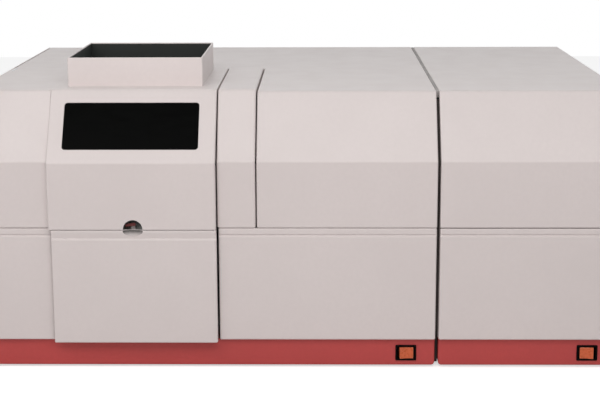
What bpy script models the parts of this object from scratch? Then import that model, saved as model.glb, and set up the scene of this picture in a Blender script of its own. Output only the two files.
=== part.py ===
"""Flame atomic absorption spectrometer with its furnace supply cabinet.

Metres, +Z up, X to the right and Y to the back. The origin is on the bench, under the middle of the whole box.
Each piece is an object of its own, and each moving piece hangs from an empty on its joint's axis.
"""
import math

import bmesh
import bpy
from mathutils import Matrix, Vector

MM = 0.001

# Cabinets
TOTAL_WIDTH = 1000 * MM
MAIN_WIDTH = 712.3 * MM
CABINET_GAP = 4.6 * MM
DEPTH = 698 * MM
REAR_REACH = 27 * MM  # how far the gas fittings stand out behind
PROUD = 10 * MM  # how far hood and door stand out in front
FOOT_HEIGHT = 4 * MM
BASE_HEIGHT = 43 * MM
LOWER_HEIGHT = 177 * MM
UPPER_FRONT_HEIGHT = 102.6 * MM
SLOPE_HEIGHT = 100.2 * MM
SLOPE_RUN = 58.8 * MM
LID_RISE = 3 * MM  # the opening covers sit this much above the fixed one
LID_DEPTH = 339.5 * MM  # from the front to the rear edge of lid and hood

# Widths along the front
LID_WIDTH = 117 * MM
LID_SEAM = 1 * MM
HOOD_WIDTH = 258.4 * MM
COVER_SEAM = 1.8 * MM
NARROW_WIDTH = 58.2 * MM
DOOR_STEP = 7 * MM  # door's left edge, right of the hood's
DOOR_WIDTH = 252 * MM
DOOR_SEAM = 2 * MM
DOOR_GRIP = 4 * MM  # finger gap on the door's right

# Sheet metal
SHEET = 1.5 * MM
SEAT = 0.3 * MM  # gap between pieces that touch
GROOVE = 0.9 * MM
BEVEL_BEND = 6 * MM
TOP_BEND = 13 * MM
FOLD = 3 * MM
FLANGE = 12 * MM
LEAST_BEND = 0.4 * MM
OVERRUN = 4 * MM  # how far a cutter passes the face it cuts
ARC_STEPS = 2
BEND_STEPS = 3
ROUND_SIDES = 16

# Beam and burner
BEAM_Y = 206 * MM  # behind the front
BEAM_HEIGHT = 228 * MM  # above the base's top
LINER_DEPTH = 400 * MM
LINER_SEAT = 1.5 * MM

# Rocker switches
SWITCH_FRAME = (34 * MM, 25.5 * MM)
SWITCH_BODY = (29.6 * MM, 22 * MM)
SWITCH_CELL = (24 * MM, 18.6 * MM)
SWITCH_HEIGHT = 20.5 * MM  # above the base's underside
SWITCH_INSET = 44.9 * MM  # from a cabinet's right end
ROCK_DEGREES = 7.5

# Places that follow from the sizes above
LEFT_X = -TOTAL_WIDTH / 2
RIGHT_X = TOTAL_WIDTH / 2
MAIN_RIGHT_X = LEFT_X + MAIN_WIDTH
FURNACE_X = MAIN_RIGHT_X + CABINET_GAP
FRONT_Y = -(DEPTH + REAR_REACH - PROUD) / 2
BACK_Y = FRONT_Y + DEPTH
LID_BACK_Y = FRONT_Y + LID_DEPTH
BASE_TOP = FOOT_HEIGHT + BASE_HEIGHT
WAIST_Z = BASE_TOP + LOWER_HEIGHT
BEVEL_Z = WAIST_Z + UPPER_FRONT_HEIGHT
TOP_Z = BEVEL_Z + SLOPE_HEIGHT
LID_TOP_Z = TOP_Z + LID_RISE
LID_RIGHT_X = LEFT_X + LID_WIDTH
HOOD_X = LID_RIGHT_X + LID_SEAM
HOOD_RIGHT_X = HOOD_X + HOOD_WIDTH
NARROW_X = HOOD_RIGHT_X + COVER_SEAM
NARROW_RIGHT_X = NARROW_X + NARROW_WIDTH
COVER_X = NARROW_RIGHT_X + COVER_SEAM
DOOR_X = HOOD_X + DOOR_STEP
DOOR_RIGHT_X = DOOR_X + DOOR_WIDTH
LINER_X = DOOR_X - DOOR_SEAM + LINER_SEAT
LINER_RIGHT_X = HOOD_RIGHT_X - SHEET - LINER_SEAT
LINER_BACK_Y = FRONT_Y + LINER_DEPTH
LINER_FLOOR_Z = BASE_TOP + 2 * SEAT + SHEET
BURNER_X = (LINER_X + LINER_RIGHT_X) / 2
BURNER_Y = FRONT_Y + BEAM_Y
BEAM_Z = BASE_TOP + BEAM_HEIGHT

# Hinge line of hood and lid, hidden under the rear strip
STRIP_SEAM = 1.5 * MM
STRIP_LIP = 6 * MM
PIVOT_BACK = 20 * MM  # behind the lid's rear edge
PIVOT_DROP = 15 * MM  # below the lid's top
PIVOT_Y = LID_BACK_Y + PIVOT_BACK
PIVOT_Z = LID_TOP_Z - PIVOT_DROP
PIVOT_RADIUS = 4 * MM
ARM_PLATE = 3 * MM
ARM_INNER = 25 * MM
ARM_OUTER = 35 * MM
ARM_WALL_GAP = 2 * MM

# Monochromator and bench
BENCH_DROP = 62 * MM  # bench top below the beam
BENCH_PLATE = 10 * MM
BENCH_TOP = BEAM_Z - BENCH_DROP
MONO_X = COVER_X + FLANGE

PARTS = bpy.data.collections.new("atomic_absorption_spectrometer")
CUTTERS = bpy.data.collections.new("cutters")
FINISHES = {}


# Materials
def finish(name, colour, roughness, metallic=0.0):
    material = bpy.data.materials.new(name)
    material.use_nodes = True
    shader = material.node_tree.nodes["Principled BSDF"]
    shader.inputs["Base Color"].default_value = (*colour, 1.0)
    shader.inputs["Roughness"].default_value = roughness
    shader.inputs["Metallic"].default_value = metallic
    FINISHES[name] = material


def make_finishes():
    finish("grey_enamel", (0.66, 0.60, 0.58), 0.45)
    finish("red_enamel", (0.36, 0.05, 0.045), 0.5)
    finish("plain_steel", (0.52, 0.52, 0.50), 0.38, 1.0)
    finish("zinc_sheet", (0.58, 0.59, 0.58), 0.45, 1.0)
    finish("dark_sheet", (0.05, 0.052, 0.055), 0.5)
    finish("smoked_pane", (0.004, 0.004, 0.004), 0.12)
    finish("black_plastic", (0.02, 0.02, 0.021), 0.5)
    finish("orange_lens", (0.70, 0.12, 0.03), 0.3)
    finish("white_plastic", (0.80, 0.79, 0.75), 0.4)
    finish("titanium", (0.42, 0.40, 0.38), 0.35, 1.0)
    finish("brass", (0.70, 0.50, 0.20), 0.35, 1.0)
    finish("aluminium", (0.62, 0.63, 0.64), 0.4, 1.0)
    finish("lamp_glass", (0.75, 0.80, 0.82), 0.08)
    finish("rubber", (0.03, 0.03, 0.03), 0.8)
    finish("green_board", (0.03, 0.18, 0.08), 0.5)
    finish("copper", (0.72, 0.36, 0.20), 0.4, 1.0)


# Outlines
def direction(start, end):
    step = Vector(end) - Vector(start)
    return step.normalized()


def inset(points, depth):
    """An open outline moved to its right by depth, with mitred corners."""
    moved = []
    last = len(points) - 1
    for index, point in enumerate(points):
        before = direction(points[max(index - 1, 0)], points[max(index, 1)])
        after = direction(points[min(index, last - 1)], points[min(index + 1, last)])
        normal = Vector((before.y + after.y, -before.x - after.x)).normalized()
        share = normal.dot(Vector((after.y, -after.x)))
        moved.append(tuple(Vector(point) + normal * depth / share))
    return moved


def rounded(points, radii, closed=False, steps=ARC_STEPS):
    """The outline with an arc of its radius at each corner that has one."""
    outline = []
    count = len(points)
    for index, point in enumerate(points):
        radius = radii[index % len(radii)]
        is_end = not closed and index in (0, count - 1)
        if radius <= 0 or is_end:
            outline.append(tuple(point))
            continue
        before = direction(points[index - 1], point)
        after = direction(point, points[(index + 1) % count])
        turn = math.atan2(before.cross(after), before.dot(after))
        side = math.copysign(1, turn)
        start = Vector(point) - before * radius * math.tan(abs(turn) / 2)
        centre = start + Vector((-before.y, before.x)) * radius * side
        for step in range(steps + 1):
            spoke = start - centre
            spoke.rotate(Matrix.Rotation(turn * step / steps, 2))
            outline.append(tuple(centre + spoke))
    return outline


def bent(points, bends, depth=0.0, steps=BEND_STEPS):
    """A bent sheet's outline at a depth inside it, its arcs about the same centres."""
    radii = [0] + [max(bend - depth, LEAST_BEND) for bend in bends] + [0]
    return rounded(inset(points, depth), radii, steps=steps)


def circle(centre, radius, sides=ROUND_SIDES):
    angles = [math.tau * side / sides for side in range(sides)]
    return [(centre[0] + radius * math.cos(a), centre[1] + radius * math.sin(a)) for a in angles]


def rectangle(centre, size, radius=0.0):
    half_x, half_y = size[0] / 2, size[1] / 2
    corners = [(-half_x, -half_y), (half_x, -half_y), (half_x, half_y), (-half_x, half_y)]
    corners = [(centre[0] + x, centre[1] + y) for x, y in corners]
    return rounded(corners, [radius], closed=True) if radius > 0 else corners


def arc_slot(centre, inner, outer, start, end, steps=3):
    """A slot bent round a centre, between two radii and two angles."""
    angles = [start + (end - start) * step / steps for step in range(steps + 1)]
    rim = [(centre[0] + outer * math.cos(a), centre[1] + outer * math.sin(a)) for a in angles]
    hub = [(centre[0] + inner * math.cos(a), centre[1] + inner * math.sin(a)) for a in angles]
    return rim + hub[::-1]


# Shapes, all made in place
def shape(mesh, material="plain_steel"):
    item = bpy.data.objects.new("shape", mesh)
    item.data.materials.append(FINISHES[material])
    CUTTERS.objects.link(item)
    return item


def mesh_of(mesh_maker):
    mesh = bpy.data.meshes.new("shape")
    mesh_maker.to_mesh(mesh)
    mesh_maker.free()
    return mesh


def block(low, high, edge=0.0):
    """A box between two corners, its upright edges rounded where an edge radius is given."""
    maker = bmesh.new()
    size = Vector(high) - Vector(low)
    middle = (Vector(high) + Vector(low)) / 2
    bmesh.ops.create_cube(maker, size=1, matrix=Matrix.Translation(middle) @ Matrix.Diagonal((*size, 1)))
    if edge > 0:
        upright = [e for e in maker.edges if abs(e.verts[0].co.z - e.verts[1].co.z) > size.z / 2]
        bmesh.ops.bevel(maker, geom=upright, offset=edge, segments=ARC_STEPS, affect="EDGES")
    return shape(mesh_of(maker))


def rod(start, end, radius, end_radius=None, sides=ROUND_SIDES):
    """A cylinder or cone between two points."""
    maker = bmesh.new()
    along = Vector(end) - Vector(start)
    turn = along.to_track_quat("Z", "Y").to_matrix().to_4x4()
    place = Matrix.Translation((Vector(start) + Vector(end)) / 2) @ turn
    bmesh.ops.create_cone(
        maker, cap_ends=True, segments=sides, radius1=radius, matrix=place,
        radius2=radius if end_radius is None else end_radius, depth=along.length,
    )
    mesh = mesh_of(maker)
    mesh.shade_smooth()
    mesh.set_sharp_from_angle(angle=math.radians(40))
    return shape(mesh)


def evaluated_mesh(item):
    bpy.context.view_layer.update()
    graph = bpy.context.evaluated_depsgraph_get()
    mesh = bpy.data.meshes.new_from_object(item.evaluated_get(graph))
    mesh.transform(item.matrix_world)
    maker = bmesh.new()
    maker.from_mesh(mesh)
    bmesh.ops.remove_doubles(maker, verts=maker.verts, dist=MM / 1000)
    maker.to_mesh(mesh)
    maker.free()
    bpy.data.objects.remove(item)
    return mesh


def facing(plane, level):
    """Where an outline's mid-plane lies: its axes are XY, XZ or YZ of the model."""
    frames = {
        "xy": (Vector((1, 0, 0)), Vector((0, 1, 0)), Vector((0, 0, 1))),
        "xz": (Vector((1, 0, 0)), Vector((0, 0, 1)), Vector((0, -1, 0))),
        "yz": (Vector((0, 1, 0)), Vector((0, 0, 1)), Vector((1, 0, 0))),
    }
    across, upward, normal = frames[plane]
    shift = Vector((abs(normal.x), abs(normal.y), abs(normal.z))) * level
    return framed(across, upward, normal, shift)


def framed(across, upward, normal, origin):
    frame = Matrix((across, upward, normal)).transposed().to_4x4()
    frame.translation = origin
    return frame


def plate(outlines, frame, thickness):
    """A flat piece cut to an outline, with the other outlines as holes, its mid-plane in the frame."""
    curve = bpy.data.curves.new("outline", "CURVE")
    curve.dimensions = "2D"
    curve.fill_mode = "BOTH"
    curve.extrude = thickness / 2
    for outline in outlines:
        spline = curve.splines.new("POLY")
        spline.points.add(len(outline) - 1)
        spline.use_cyclic_u = True
        for point, (x, y) in zip(spline.points, outline):
            point.co = (x, y, 0, 1)
    item = bpy.data.objects.new("outline", curve)
    item.matrix_world = frame
    CUTTERS.objects.link(item)
    return shape(evaluated_mesh(item))


def turned(profile, base, axis, sides=ROUND_SIDES, hollow=False):
    """A turned piece: profile is (radius, height) down its outer side, then up its bore if hollow."""
    mesh = bpy.data.meshes.new("profile")
    count = len(profile)
    edges = [(index, index + 1) for index in range(count - 1)]
    if hollow:
        edges.append((count - 1, 0))
    mesh.from_pydata([(radius, 0, height) for radius, height in profile], edges, [])
    item = bpy.data.objects.new("turned", mesh)
    screw = item.modifiers.new("turn", "SCREW")
    screw.steps = screw.render_steps = sides
    screw.use_merge_vertices = True
    screw.merge_threshold = MM / 100
    screw.use_smooth_shade = True
    item.matrix_world = Matrix.Translation(base) @ Vector(axis).to_track_quat("Z", "Y").to_matrix().to_4x4()
    CUTTERS.objects.link(item)
    mesh = evaluated_mesh(item)
    mesh.set_sharp_from_angle(angle=math.radians(40))
    return shape(mesh)


def tube(points, radius, sides_share=1):
    curve = bpy.data.curves.new("tube", "CURVE")
    curve.dimensions = "3D"
    curve.bevel_depth = radius
    curve.bevel_resolution = 2 * sides_share
    curve.use_fill_caps = True
    spline = curve.splines.new("POLY")
    spline.points.add(len(points) - 1)
    for point, place in zip(spline.points, points):
        point.co = (*place, 1)
    item = bpy.data.objects.new("tube", curve)
    CUTTERS.objects.link(item)
    return shape(evaluated_mesh(item))


def walled(rows, wrap, floor, sheet):
    """A sheet through rows of points: a grid of faces, thickened behind them."""
    maker = bmesh.new()
    grid = [[maker.verts.new(point) for point in row] for row in rows]
    count = len(grid)
    for index in range(count if wrap else count - 1):
        here, beside = grid[index], grid[(index + 1) % count]
        for step in range(len(here) - 1):
            maker.faces.new((here[step], beside[step], beside[step + 1], here[step + 1]))
    if floor:
        maker.faces.new([row[0] for row in reversed(grid)])
    item = shape(mesh_of(maker))
    wall = item.modifiers.new("sheet", "SOLIDIFY")
    wall.thickness = sheet
    wall.offset = -1
    wall.use_even_offset = True
    return shape(evaluated_mesh(item))


def folded_cover(points, bends, low_x, high_x, flanges=(FLANGE, FLANGE), folds=(FOLD, FOLD), steps=BEND_STEPS):
    """A bent sheet between two X places, its sides folded back by the flanges' depths."""
    quarter = [math.pi / 2 * step / ARC_STEPS for step in range(ARC_STEPS + 1)]
    left = [(low_x + folds[0] * (1 - math.cos(a)), folds[0] * (1 - math.sin(a))) for a in quarter]
    right = [(high_x - folds[1] * (1 - math.cos(a)), folds[1] * (1 - math.sin(a))) for a in quarter]
    edge = [(low_x, flanges[0])] + left + right[::-1] + [(high_x, flanges[1])]
    rows = [[(x, y, z) for y, z in bent(points, bends, depth, steps)] for x, depth in edge]
    return walled(rows, wrap=False, floor=False, sheet=SHEET)


def ring_wall(centre, size, corner, section, sheet, floor=False):
    """A section of (outward step, height) carried round a rectangle with rounded corners."""
    columns = []
    for outward, height in section:
        full = (size[0] + 2 * outward, size[1] + 2 * outward)
        outline = rectangle(centre, full, max(corner + outward, LEAST_BEND))
        columns.append([(x, y, height) for x, y in outline])
    return walled(list(zip(*columns)), wrap=True, floor=floor, sheet=sheet)


# Nodes
def fold_in(target, tool, operation):
    step = target.modifiers.new(operation.lower(), "BOOLEAN")
    step.operation = operation
    step.solver = "EXACT"
    step.object = tool
    tool.hide_render = True
    tool.display_type = "WIRE"


def node(name, material, shapes, cuts=()):
    """A piece: its first shape with the others joined on and the cuts taken out."""
    item = shapes[0]
    item.name = item.data.name = name
    item.data.materials.clear()
    item.data.materials.append(FINISHES[material])
    CUTTERS.objects.unlink(item)
    PARTS.objects.link(item)
    for tool in shapes[1:]:
        fold_in(item, tool, "UNION")
    for tool in cuts:
        fold_in(item, tool, "DIFFERENCE")
    corners = [vertex.co for vertex in item.data.vertices]
    low = Vector([min(corner[axis] for corner in corners) for axis in range(3)])
    high = Vector([max(corner[axis] for corner in corners) for axis in range(3)])
    base = Vector(((low.x + high.x) / 2, (low.y + high.y) / 2, low.z))
    item.data.transform(Matrix.Translation(-base))
    item.location = base
    return item


def cut_shape(target, tools):
    """The shape with the tools taken out of it, as a mesh of its own."""
    for tool in tools:
        fold_in(target, tool, "DIFFERENCE")
    mesh = evaluated_mesh(target)
    for tool in tools:
        bpy.data.objects.remove(tool)
    return shape(mesh)


def joined_shape(shapes):
    """Overlapping shapes made one solid."""
    target = shapes[0]
    for tool in shapes[1:]:
        fold_in(target, tool, "UNION")
    mesh = evaluated_mesh(target)
    for tool in shapes[1:]:
        bpy.data.objects.remove(tool)
    return shape(mesh)


def carry(name, pivot, items, parent=None):
    """An empty on a joint's axis that carries a moving body's pieces."""
    empty = bpy.data.objects.new(name, None)
    empty.empty_display_size = FLANGE
    PARTS.objects.link(empty)
    empty.location = pivot
    if parent is not None:
        empty.parent = parent
        empty.location = Vector(pivot) - parent_place(parent)
    for item in items:
        item.parent = empty
        item.location = item.location - Vector(pivot)
    return empty


def parent_place(empty):
    place = Vector(empty.location)
    while empty.parent is not None:
        empty = empty.parent
        place = place + Vector(empty.location)
    return place


# Profiles of the covers, as (Y, Z) from the lower front edge round to the back
def upper_points(front, top, back, lip):
    slope_start = (front, BEVEL_Z)
    slope_end = (FRONT_Y + SLOPE_RUN, top)
    points = [(front, WAIST_Z + GROOVE), slope_start, slope_end, (back, top)]
    return points + [(back, top - lip)] if lip else points


UPPER_BENDS = (BEVEL_BEND, TOP_BEND)
PANEL_RETURN = 24 * MM
CHAMFER_RUN = 4.5 * MM
CHAMFER_HEIGHT = 8.4 * MM


def panel_points(front, return_depth, bottom):
    """A lower panel: bottom return, face, chamfer, top return."""
    return [
        (front + return_depth, bottom), (front, bottom), (front, WAIST_Z - CHAMFER_HEIGHT),
        (front + CHAMFER_RUN, WAIST_Z), (front + return_depth, WAIST_Z),
    ]


PANEL_BENDS = (2.5 * MM, 4 * MM, 2.5 * MM)


def silhouette():
    """A cabinet's end outline, down to the base's top."""
    upper = bent(upper_points(FRONT_Y, TOP_Z, BACK_Y, lip=0), UPPER_BENDS)
    bottom = BASE_TOP + SEAT
    chamfer = [
        (FRONT_Y, bottom), (FRONT_Y, WAIST_Z - CHAMFER_HEIGHT), (FRONT_Y + CHAMFER_RUN, WAIST_Z),
        (FRONT_Y + CHAMFER_RUN, WAIST_Z + GROOVE),
    ]
    return chamfer + upper + [(BACK_Y, bottom)]


# Base, feet and outer panels
BASE_INSET = 0.5 * MM
BASE_SETBACK = 8 * MM
BASE_REAR_INSET = 1 * MM
BASE_SHEET = 2 * MM
BASE_LEDGE = 20 * MM
BASE_CORNER = 3.5 * MM
BASE_FOLD = 3 * MM
FOOT_RADIUS = 15 * MM
FOOT_TAPER = 2 * MM
FOOT_SETBACK = 55 * MM


def base_tray(name, low_x, high_x, switch_x):
    """An open tray on four feet, with a ledge round its top and the switch's cut-out in its front."""
    front, back = FRONT_Y + BASE_SETBACK, BACK_Y - BASE_REAR_INSET
    low_x, high_x = low_x + BASE_INSET, high_x - BASE_INSET
    quarter = [math.pi / 2 * step / ARC_STEPS for step in range(ARC_STEPS + 1)]
    section = [(-BASE_FOLD * (1 - math.sin(a)), FOOT_HEIGHT + BASE_FOLD * (1 - math.cos(a))) for a in quarter]
    section += [(0, BASE_TOP), (-BASE_LEDGE, BASE_TOP)]
    centre = ((low_x + high_x) / 2, (front + back) / 2)
    size = (high_x - low_x, back - front)
    tray = ring_wall(centre, size, BASE_CORNER, section, BASE_SHEET, floor=True)
    half_x, half_z = SWITCH_BODY[0] / 2 + SEAT, SWITCH_BODY[1] / 2 + SEAT
    middle = FOOT_HEIGHT + SWITCH_HEIGHT
    cut = block(
        (switch_x - half_x, front - OVERRUN, middle - half_z),
        (switch_x + half_x, front + BASE_SHEET + OVERRUN, middle + half_z),
    )
    feet = []
    for x in (low_x + FOOT_SETBACK, high_x - FOOT_SETBACK):
        for y in (front + FOOT_SETBACK, back - FOOT_SETBACK):
            top = (x, y, FOOT_HEIGHT + BASE_SHEET / 2)
            feet.append(rod((x, y, 0), top, FOOT_RADIUS - FOOT_TAPER, FOOT_RADIUS, sides=12))
    return node(name, "red_enamel", [tray, *feet], [cut])


def side_panel(x):
    """An end panel with its outer or inner face at X, as a shape."""
    return plate([silhouette()], facing("yz", x + SHEET / 2), SHEET)


SPACER_RADIUS = 12 * MM
SPACER_INSET = 90 * MM


def make_sides():
    """The end panels: the left one bears the lid's stud, the right one the pads that space the cabinets."""
    left_arm = lid_arm_places()[0]
    stud = pivot_stud(LEFT_X + SHEET / 2, left_arm + ARM_PLATE + SEAT)
    node("left_side_panel", "grey_enamel", [side_panel(LEFT_X), *stud])
    pads = []
    for y in (FRONT_Y + SPACER_INSET, BACK_Y - SPACER_INSET):
        for z in (BASE_TOP + SPACER_INSET, TOP_Z - SPACER_INSET):
            pads.append(rod((MAIN_RIGHT_X - SHEET / 2, y, z), (FURNACE_X - SEAT, y, z), SPACER_RADIUS))
    node("right_side_panel", "grey_enamel", [side_panel(MAIN_RIGHT_X - SHEET), *pads])
    node("furnace_left_panel", "grey_enamel", [side_panel(FURNACE_X)])
    node("furnace_right_panel", "grey_enamel", [side_panel(RIGHT_X - SHEET)])


def make_lower_panels():
    bottom = BASE_TOP + SEAT
    points = panel_points(FRONT_Y, PANEL_RETURN, bottom)
    spans = {
        "left_lower_panel": (LEFT_X + SHEET + SEAT, DOOR_X - DOOR_SEAM),
        "main_lower_panel": (DOOR_RIGHT_X + DOOR_GRIP, MAIN_RIGHT_X - SHEET - SEAT),
        "furnace_lower_panel": (FURNACE_X + SHEET + SEAT, RIGHT_X - SHEET - SEAT),
    }
    for name, (low_x, high_x) in spans.items():
        node(name, "grey_enamel", [folded_cover(points, PANEL_BENDS, low_x, high_x, steps=ARC_STEPS)])


def make_fixed_covers():
    """The L-shaped main cover, the narrow cover and the furnace cabinet's cover."""
    back_lip = FLANGE
    points = upper_points(FRONT_Y, TOP_Z, BACK_Y, back_lip)
    bends = (*UPPER_BENDS, FOLD)
    body = folded_cover(points, bends, COVER_X, MAIN_RIGHT_X - SHEET - SEAT)
    strip_front = LID_BACK_Y + STRIP_SEAM
    left_flange = block(
        (COVER_X - OVERRUN, strip_front + FLANGE, TOP_Z - FLANGE - OVERRUN),
        (COVER_X + FOLD, BACK_Y + OVERRUN, TOP_Z + OVERRUN),
    )
    body = cut_shape(body, [left_flange])
    strip_points = [
        (strip_front, TOP_Z - STRIP_LIP), (strip_front, TOP_Z), (BACK_Y, TOP_Z), (BACK_Y, TOP_Z - back_lip),
    ]
    rows = [
        [(x, y, z) for y, z in bent(strip_points, (SHEET + LEAST_BEND, FOLD))]
        for x in (LEFT_X + SHEET + SEAT, COVER_X + FLANGE)
    ]
    strip = walled(rows, wrap=False, floor=False, sheet=SHEET)
    node("main_cover", "grey_enamel", [body, strip])
    narrow = upper_points(FRONT_Y, LID_TOP_Z, LID_BACK_Y, lip=0)
    node("narrow_cover", "grey_enamel", [folded_cover(narrow, UPPER_BENDS, NARROW_X, NARROW_RIGHT_X)])
    cover = folded_cover(points, bends, FURNACE_X + SHEET + SEAT, RIGHT_X - SHEET - SEAT)
    node("furnace_cover", "grey_enamel", [cover])


# Rear panels, their fans and sockets
REAR_LEVEL = 3 * MM  # rear panel's inner recess from the cover's back edge
FAN_SIZE = 92 * MM
FAN_DEPTH = 25 * MM
FAN_BORE = 44 * MM
FAN_HEIGHT = 120 * MM  # above the base's top
FAN_INSET = 110 * MM
GUARD_RINGS = 3
GUARD_SLOT = 3.8 * MM
GUARD_PITCH = 11 * MM
GUARD_START = 14 * MM
SPOKE_SHARE = 0.12
INLET_BODY = (27.5 * MM, 20 * MM)
INLET_INSET = 60 * MM
INLET_HEIGHT = 40 * MM
PORT_PITCH = 45 * MM
PORT_RADIUS = 8 * MM
PORT_HEIGHT = 240 * MM
PORT_INSET = 120 * MM
PORTS = 3
TERMINAL_PITCH = 50 * MM
TERMINAL_HOLE = 9 * MM
TERMINAL_HEIGHT = 240 * MM
VENT_SLOT = (46 * MM, 3.6 * MM)
VENT_PITCH = 11 * MM
VENT_ROWS = 6
MAIN_FAN_X = MAIN_RIGHT_X - FAN_INSET
FAN_Z = BASE_TOP + FAN_HEIGHT
INLET_Z = BASE_TOP + INLET_HEIGHT
PORT_Z = BASE_TOP + PORT_HEIGHT
TERMINAL_Z = BASE_TOP + TERMINAL_HEIGHT
FURNACE_MIDDLE_X = (FURNACE_X + RIGHT_X) / 2
MAIN_INLET_X = MAIN_RIGHT_X - INLET_INSET
REAR_Y = BACK_Y - SHEET - SEAT - SHEET / 2  # mid-plane of the rear panels
REAR_INNER_Y = REAR_Y - SHEET / 2


def guard_slots(x, z):
    """Rings of bent slots in front of a fan, with three spokes left between them."""
    slots = []
    for ring in range(GUARD_RINGS):
        inner = GUARD_START + ring * GUARD_PITCH
        third = math.tau / 3
        for part in range(3):
            start = third * (part + SPOKE_SHARE)
            slots.append(arc_slot((x, z), inner, inner + GUARD_SLOT, start, third * (part + 1)))
    return slots


def vent_slots(x, z):
    pitch = [VENT_PITCH * row for row in range(VENT_ROWS)]
    return [rectangle((x, z + step), VENT_SLOT) for step in pitch]


def rear_panel(name, low_x, high_x, holes):
    bottom, top = BASE_TOP + SEAT, TOP_Z - FOLD - SEAT
    left, right = low_x + SHEET + 2 * SEAT, high_x - SHEET - 2 * SEAT
    flange = FOLD
    outline = [
        (left, bottom), (right, bottom), (right, top - FLANGE), (right - flange, top - FLANGE),
        (right - flange, top), (left + flange, top), (left + flange, top - FLANGE), (left, top - FLANGE),
    ]
    node(name, "grey_enamel", [plate([outline, *holes], facing("xz", REAR_Y), SHEET)])


def port_places():
    start = LEFT_X + PORT_INSET
    return [start + PORT_PITCH * port for port in range(PORTS)]


def terminal_places():
    return [FURNACE_MIDDLE_X + TERMINAL_PITCH * side for side in (-0.5, 0.5)]


def make_rear_panels():
    hole = (INLET_BODY[0] + 2 * SEAT, INLET_BODY[1] + 2 * SEAT)
    main_holes = guard_slots(MAIN_FAN_X, FAN_Z) + [rectangle((MAIN_INLET_X, INLET_Z), hole)]
    main_holes += [circle((x, PORT_Z), PORT_RADIUS + SEAT, sides=12) for x in port_places()]
    main_holes += vent_slots((LEFT_X + MAIN_RIGHT_X) / 2, FAN_Z)
    rear_panel("rear_panel", LEFT_X, MAIN_RIGHT_X, main_holes)
    holes = guard_slots(FURNACE_MIDDLE_X, FAN_Z) + [rectangle((RIGHT_X - INLET_INSET, INLET_Z), hole)]
    holes += [circle((x, TERMINAL_Z), TERMINAL_HOLE, sides=12) for x in terminal_places()]
    rear_panel("furnace_rear_panel", FURNACE_X, RIGHT_X, holes)


FAN_HUB = 17 * MM
FAN_TIP = 42 * MM
FAN_BLADES = 5
BLADE_THICKNESS = 1.6 * MM
BLADE_DEGREES = 38
FAN_FLOOR = 3 * MM
FAN_CLEAR = 1.5 * MM
SPIDER_WIDTH = 6 * MM
SPIDER_INSET = 0.4 * MM
SHAFT_RADIUS = 3 * MM


def fan_frame(x, z):
    """A square frame with a round duct, whose three-armed spider carries the motor's boss."""
    back = REAR_INNER_Y - SEAT
    outline = rectangle((x, z), (FAN_SIZE, FAN_SIZE), FOLD)
    body = plate([outline, circle((x, z), FAN_BORE)], facing("xz", back - FAN_DEPTH / 2), FAN_DEPTH)
    front = back - FAN_DEPTH
    boss = rod((x, front, z), (x, front + FAN_FLOOR, z), FAN_HUB)
    shaft = rod((x, front + FAN_FLOOR / 2, z), (x, back - FAN_FLOOR - FAN_CLEAR, z), SHAFT_RADIUS, sides=12)
    arms = []
    for arm in range(3):
        angle = math.tau * arm / 3 + math.pi / 2
        reach = (FAN_BORE + FAN_SIZE / 2) / 2
        tip = (x + reach * math.cos(angle), z + reach * math.sin(angle))
        side = (-math.sin(angle) * SPIDER_WIDTH / 2, math.cos(angle) * SPIDER_WIDTH / 2)
        arm_line = [
            (x + side[0], z + side[1]), (x - side[0], z - side[1]),
            (tip[0] - side[0], tip[1] - side[1]), (tip[0] + side[0], tip[1] + side[1]),
        ]
        arms.append(plate([arm_line], facing("xz", front + FAN_FLOOR / 2), FAN_FLOOR - 2 * SPIDER_INSET))
    return joined_shape([body, boss, shaft, *arms])


def fan_rotor(name, x, z):
    """A hub with its bore on the shaft, and slanting blades set round it."""
    back = REAR_INNER_Y - SEAT
    front = back - FAN_DEPTH + FAN_FLOOR + FAN_CLEAR
    depth = FAN_DEPTH - FAN_FLOOR - 2 * FAN_CLEAR
    profile = [
        (FAN_HUB, depth), (FAN_HUB, 0), (SHAFT_RADIUS + SEAT, 0), (SHAFT_RADIUS + SEAT, depth),
    ]
    hub = turned(profile, (x, front, z), (0, 1, 0), hollow=True)
    blades = []
    for blade in range(FAN_BLADES):
        turn = Matrix.Rotation(math.tau * blade / FAN_BLADES, 4, "Y")
        slant = Matrix.Rotation(math.radians(BLADE_DEGREES), 4, "Z")
        chord = (depth - 2 * FAN_CLEAR) / math.cos(math.radians(BLADE_DEGREES))
        item = block(
            (-BLADE_THICKNESS / 2, -chord / 2, FAN_HUB - FAN_CLEAR), (BLADE_THICKNESS / 2, chord / 2, FAN_TIP),
        )
        place = Matrix.Translation((x, front + depth / 2, z))
        item.data.transform(place @ turn @ slant)
        blades.append(item)
    item = node(name, "black_plastic", [hub, *blades])
    return carry(name + "_axis", (x, front, z), [item])


def make_fans():
    node("main_fan_frame", "black_plastic", [fan_frame(MAIN_FAN_X, FAN_Z)])
    node("furnace_fan_frame", "black_plastic", [fan_frame(FURNACE_MIDDLE_X, FAN_Z)])
    fan_rotor("main_fan_rotor", MAIN_FAN_X, FAN_Z)
    fan_rotor("furnace_fan_rotor", FURNACE_MIDDLE_X, FAN_Z)


INLET_FLANGE = (31 * MM, 24.5 * MM)
INLET_LIP = 2 * MM
INLET_DEPTH = 24 * MM
INLET_CAVITY = (23 * MM, 15.5 * MM)
INLET_CAVITY_DEPTH = 16 * MM
INLET_PIN = (2 * MM, 11 * MM, 4 * MM)
INLET_PIN_PITCH = 7 * MM


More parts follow.
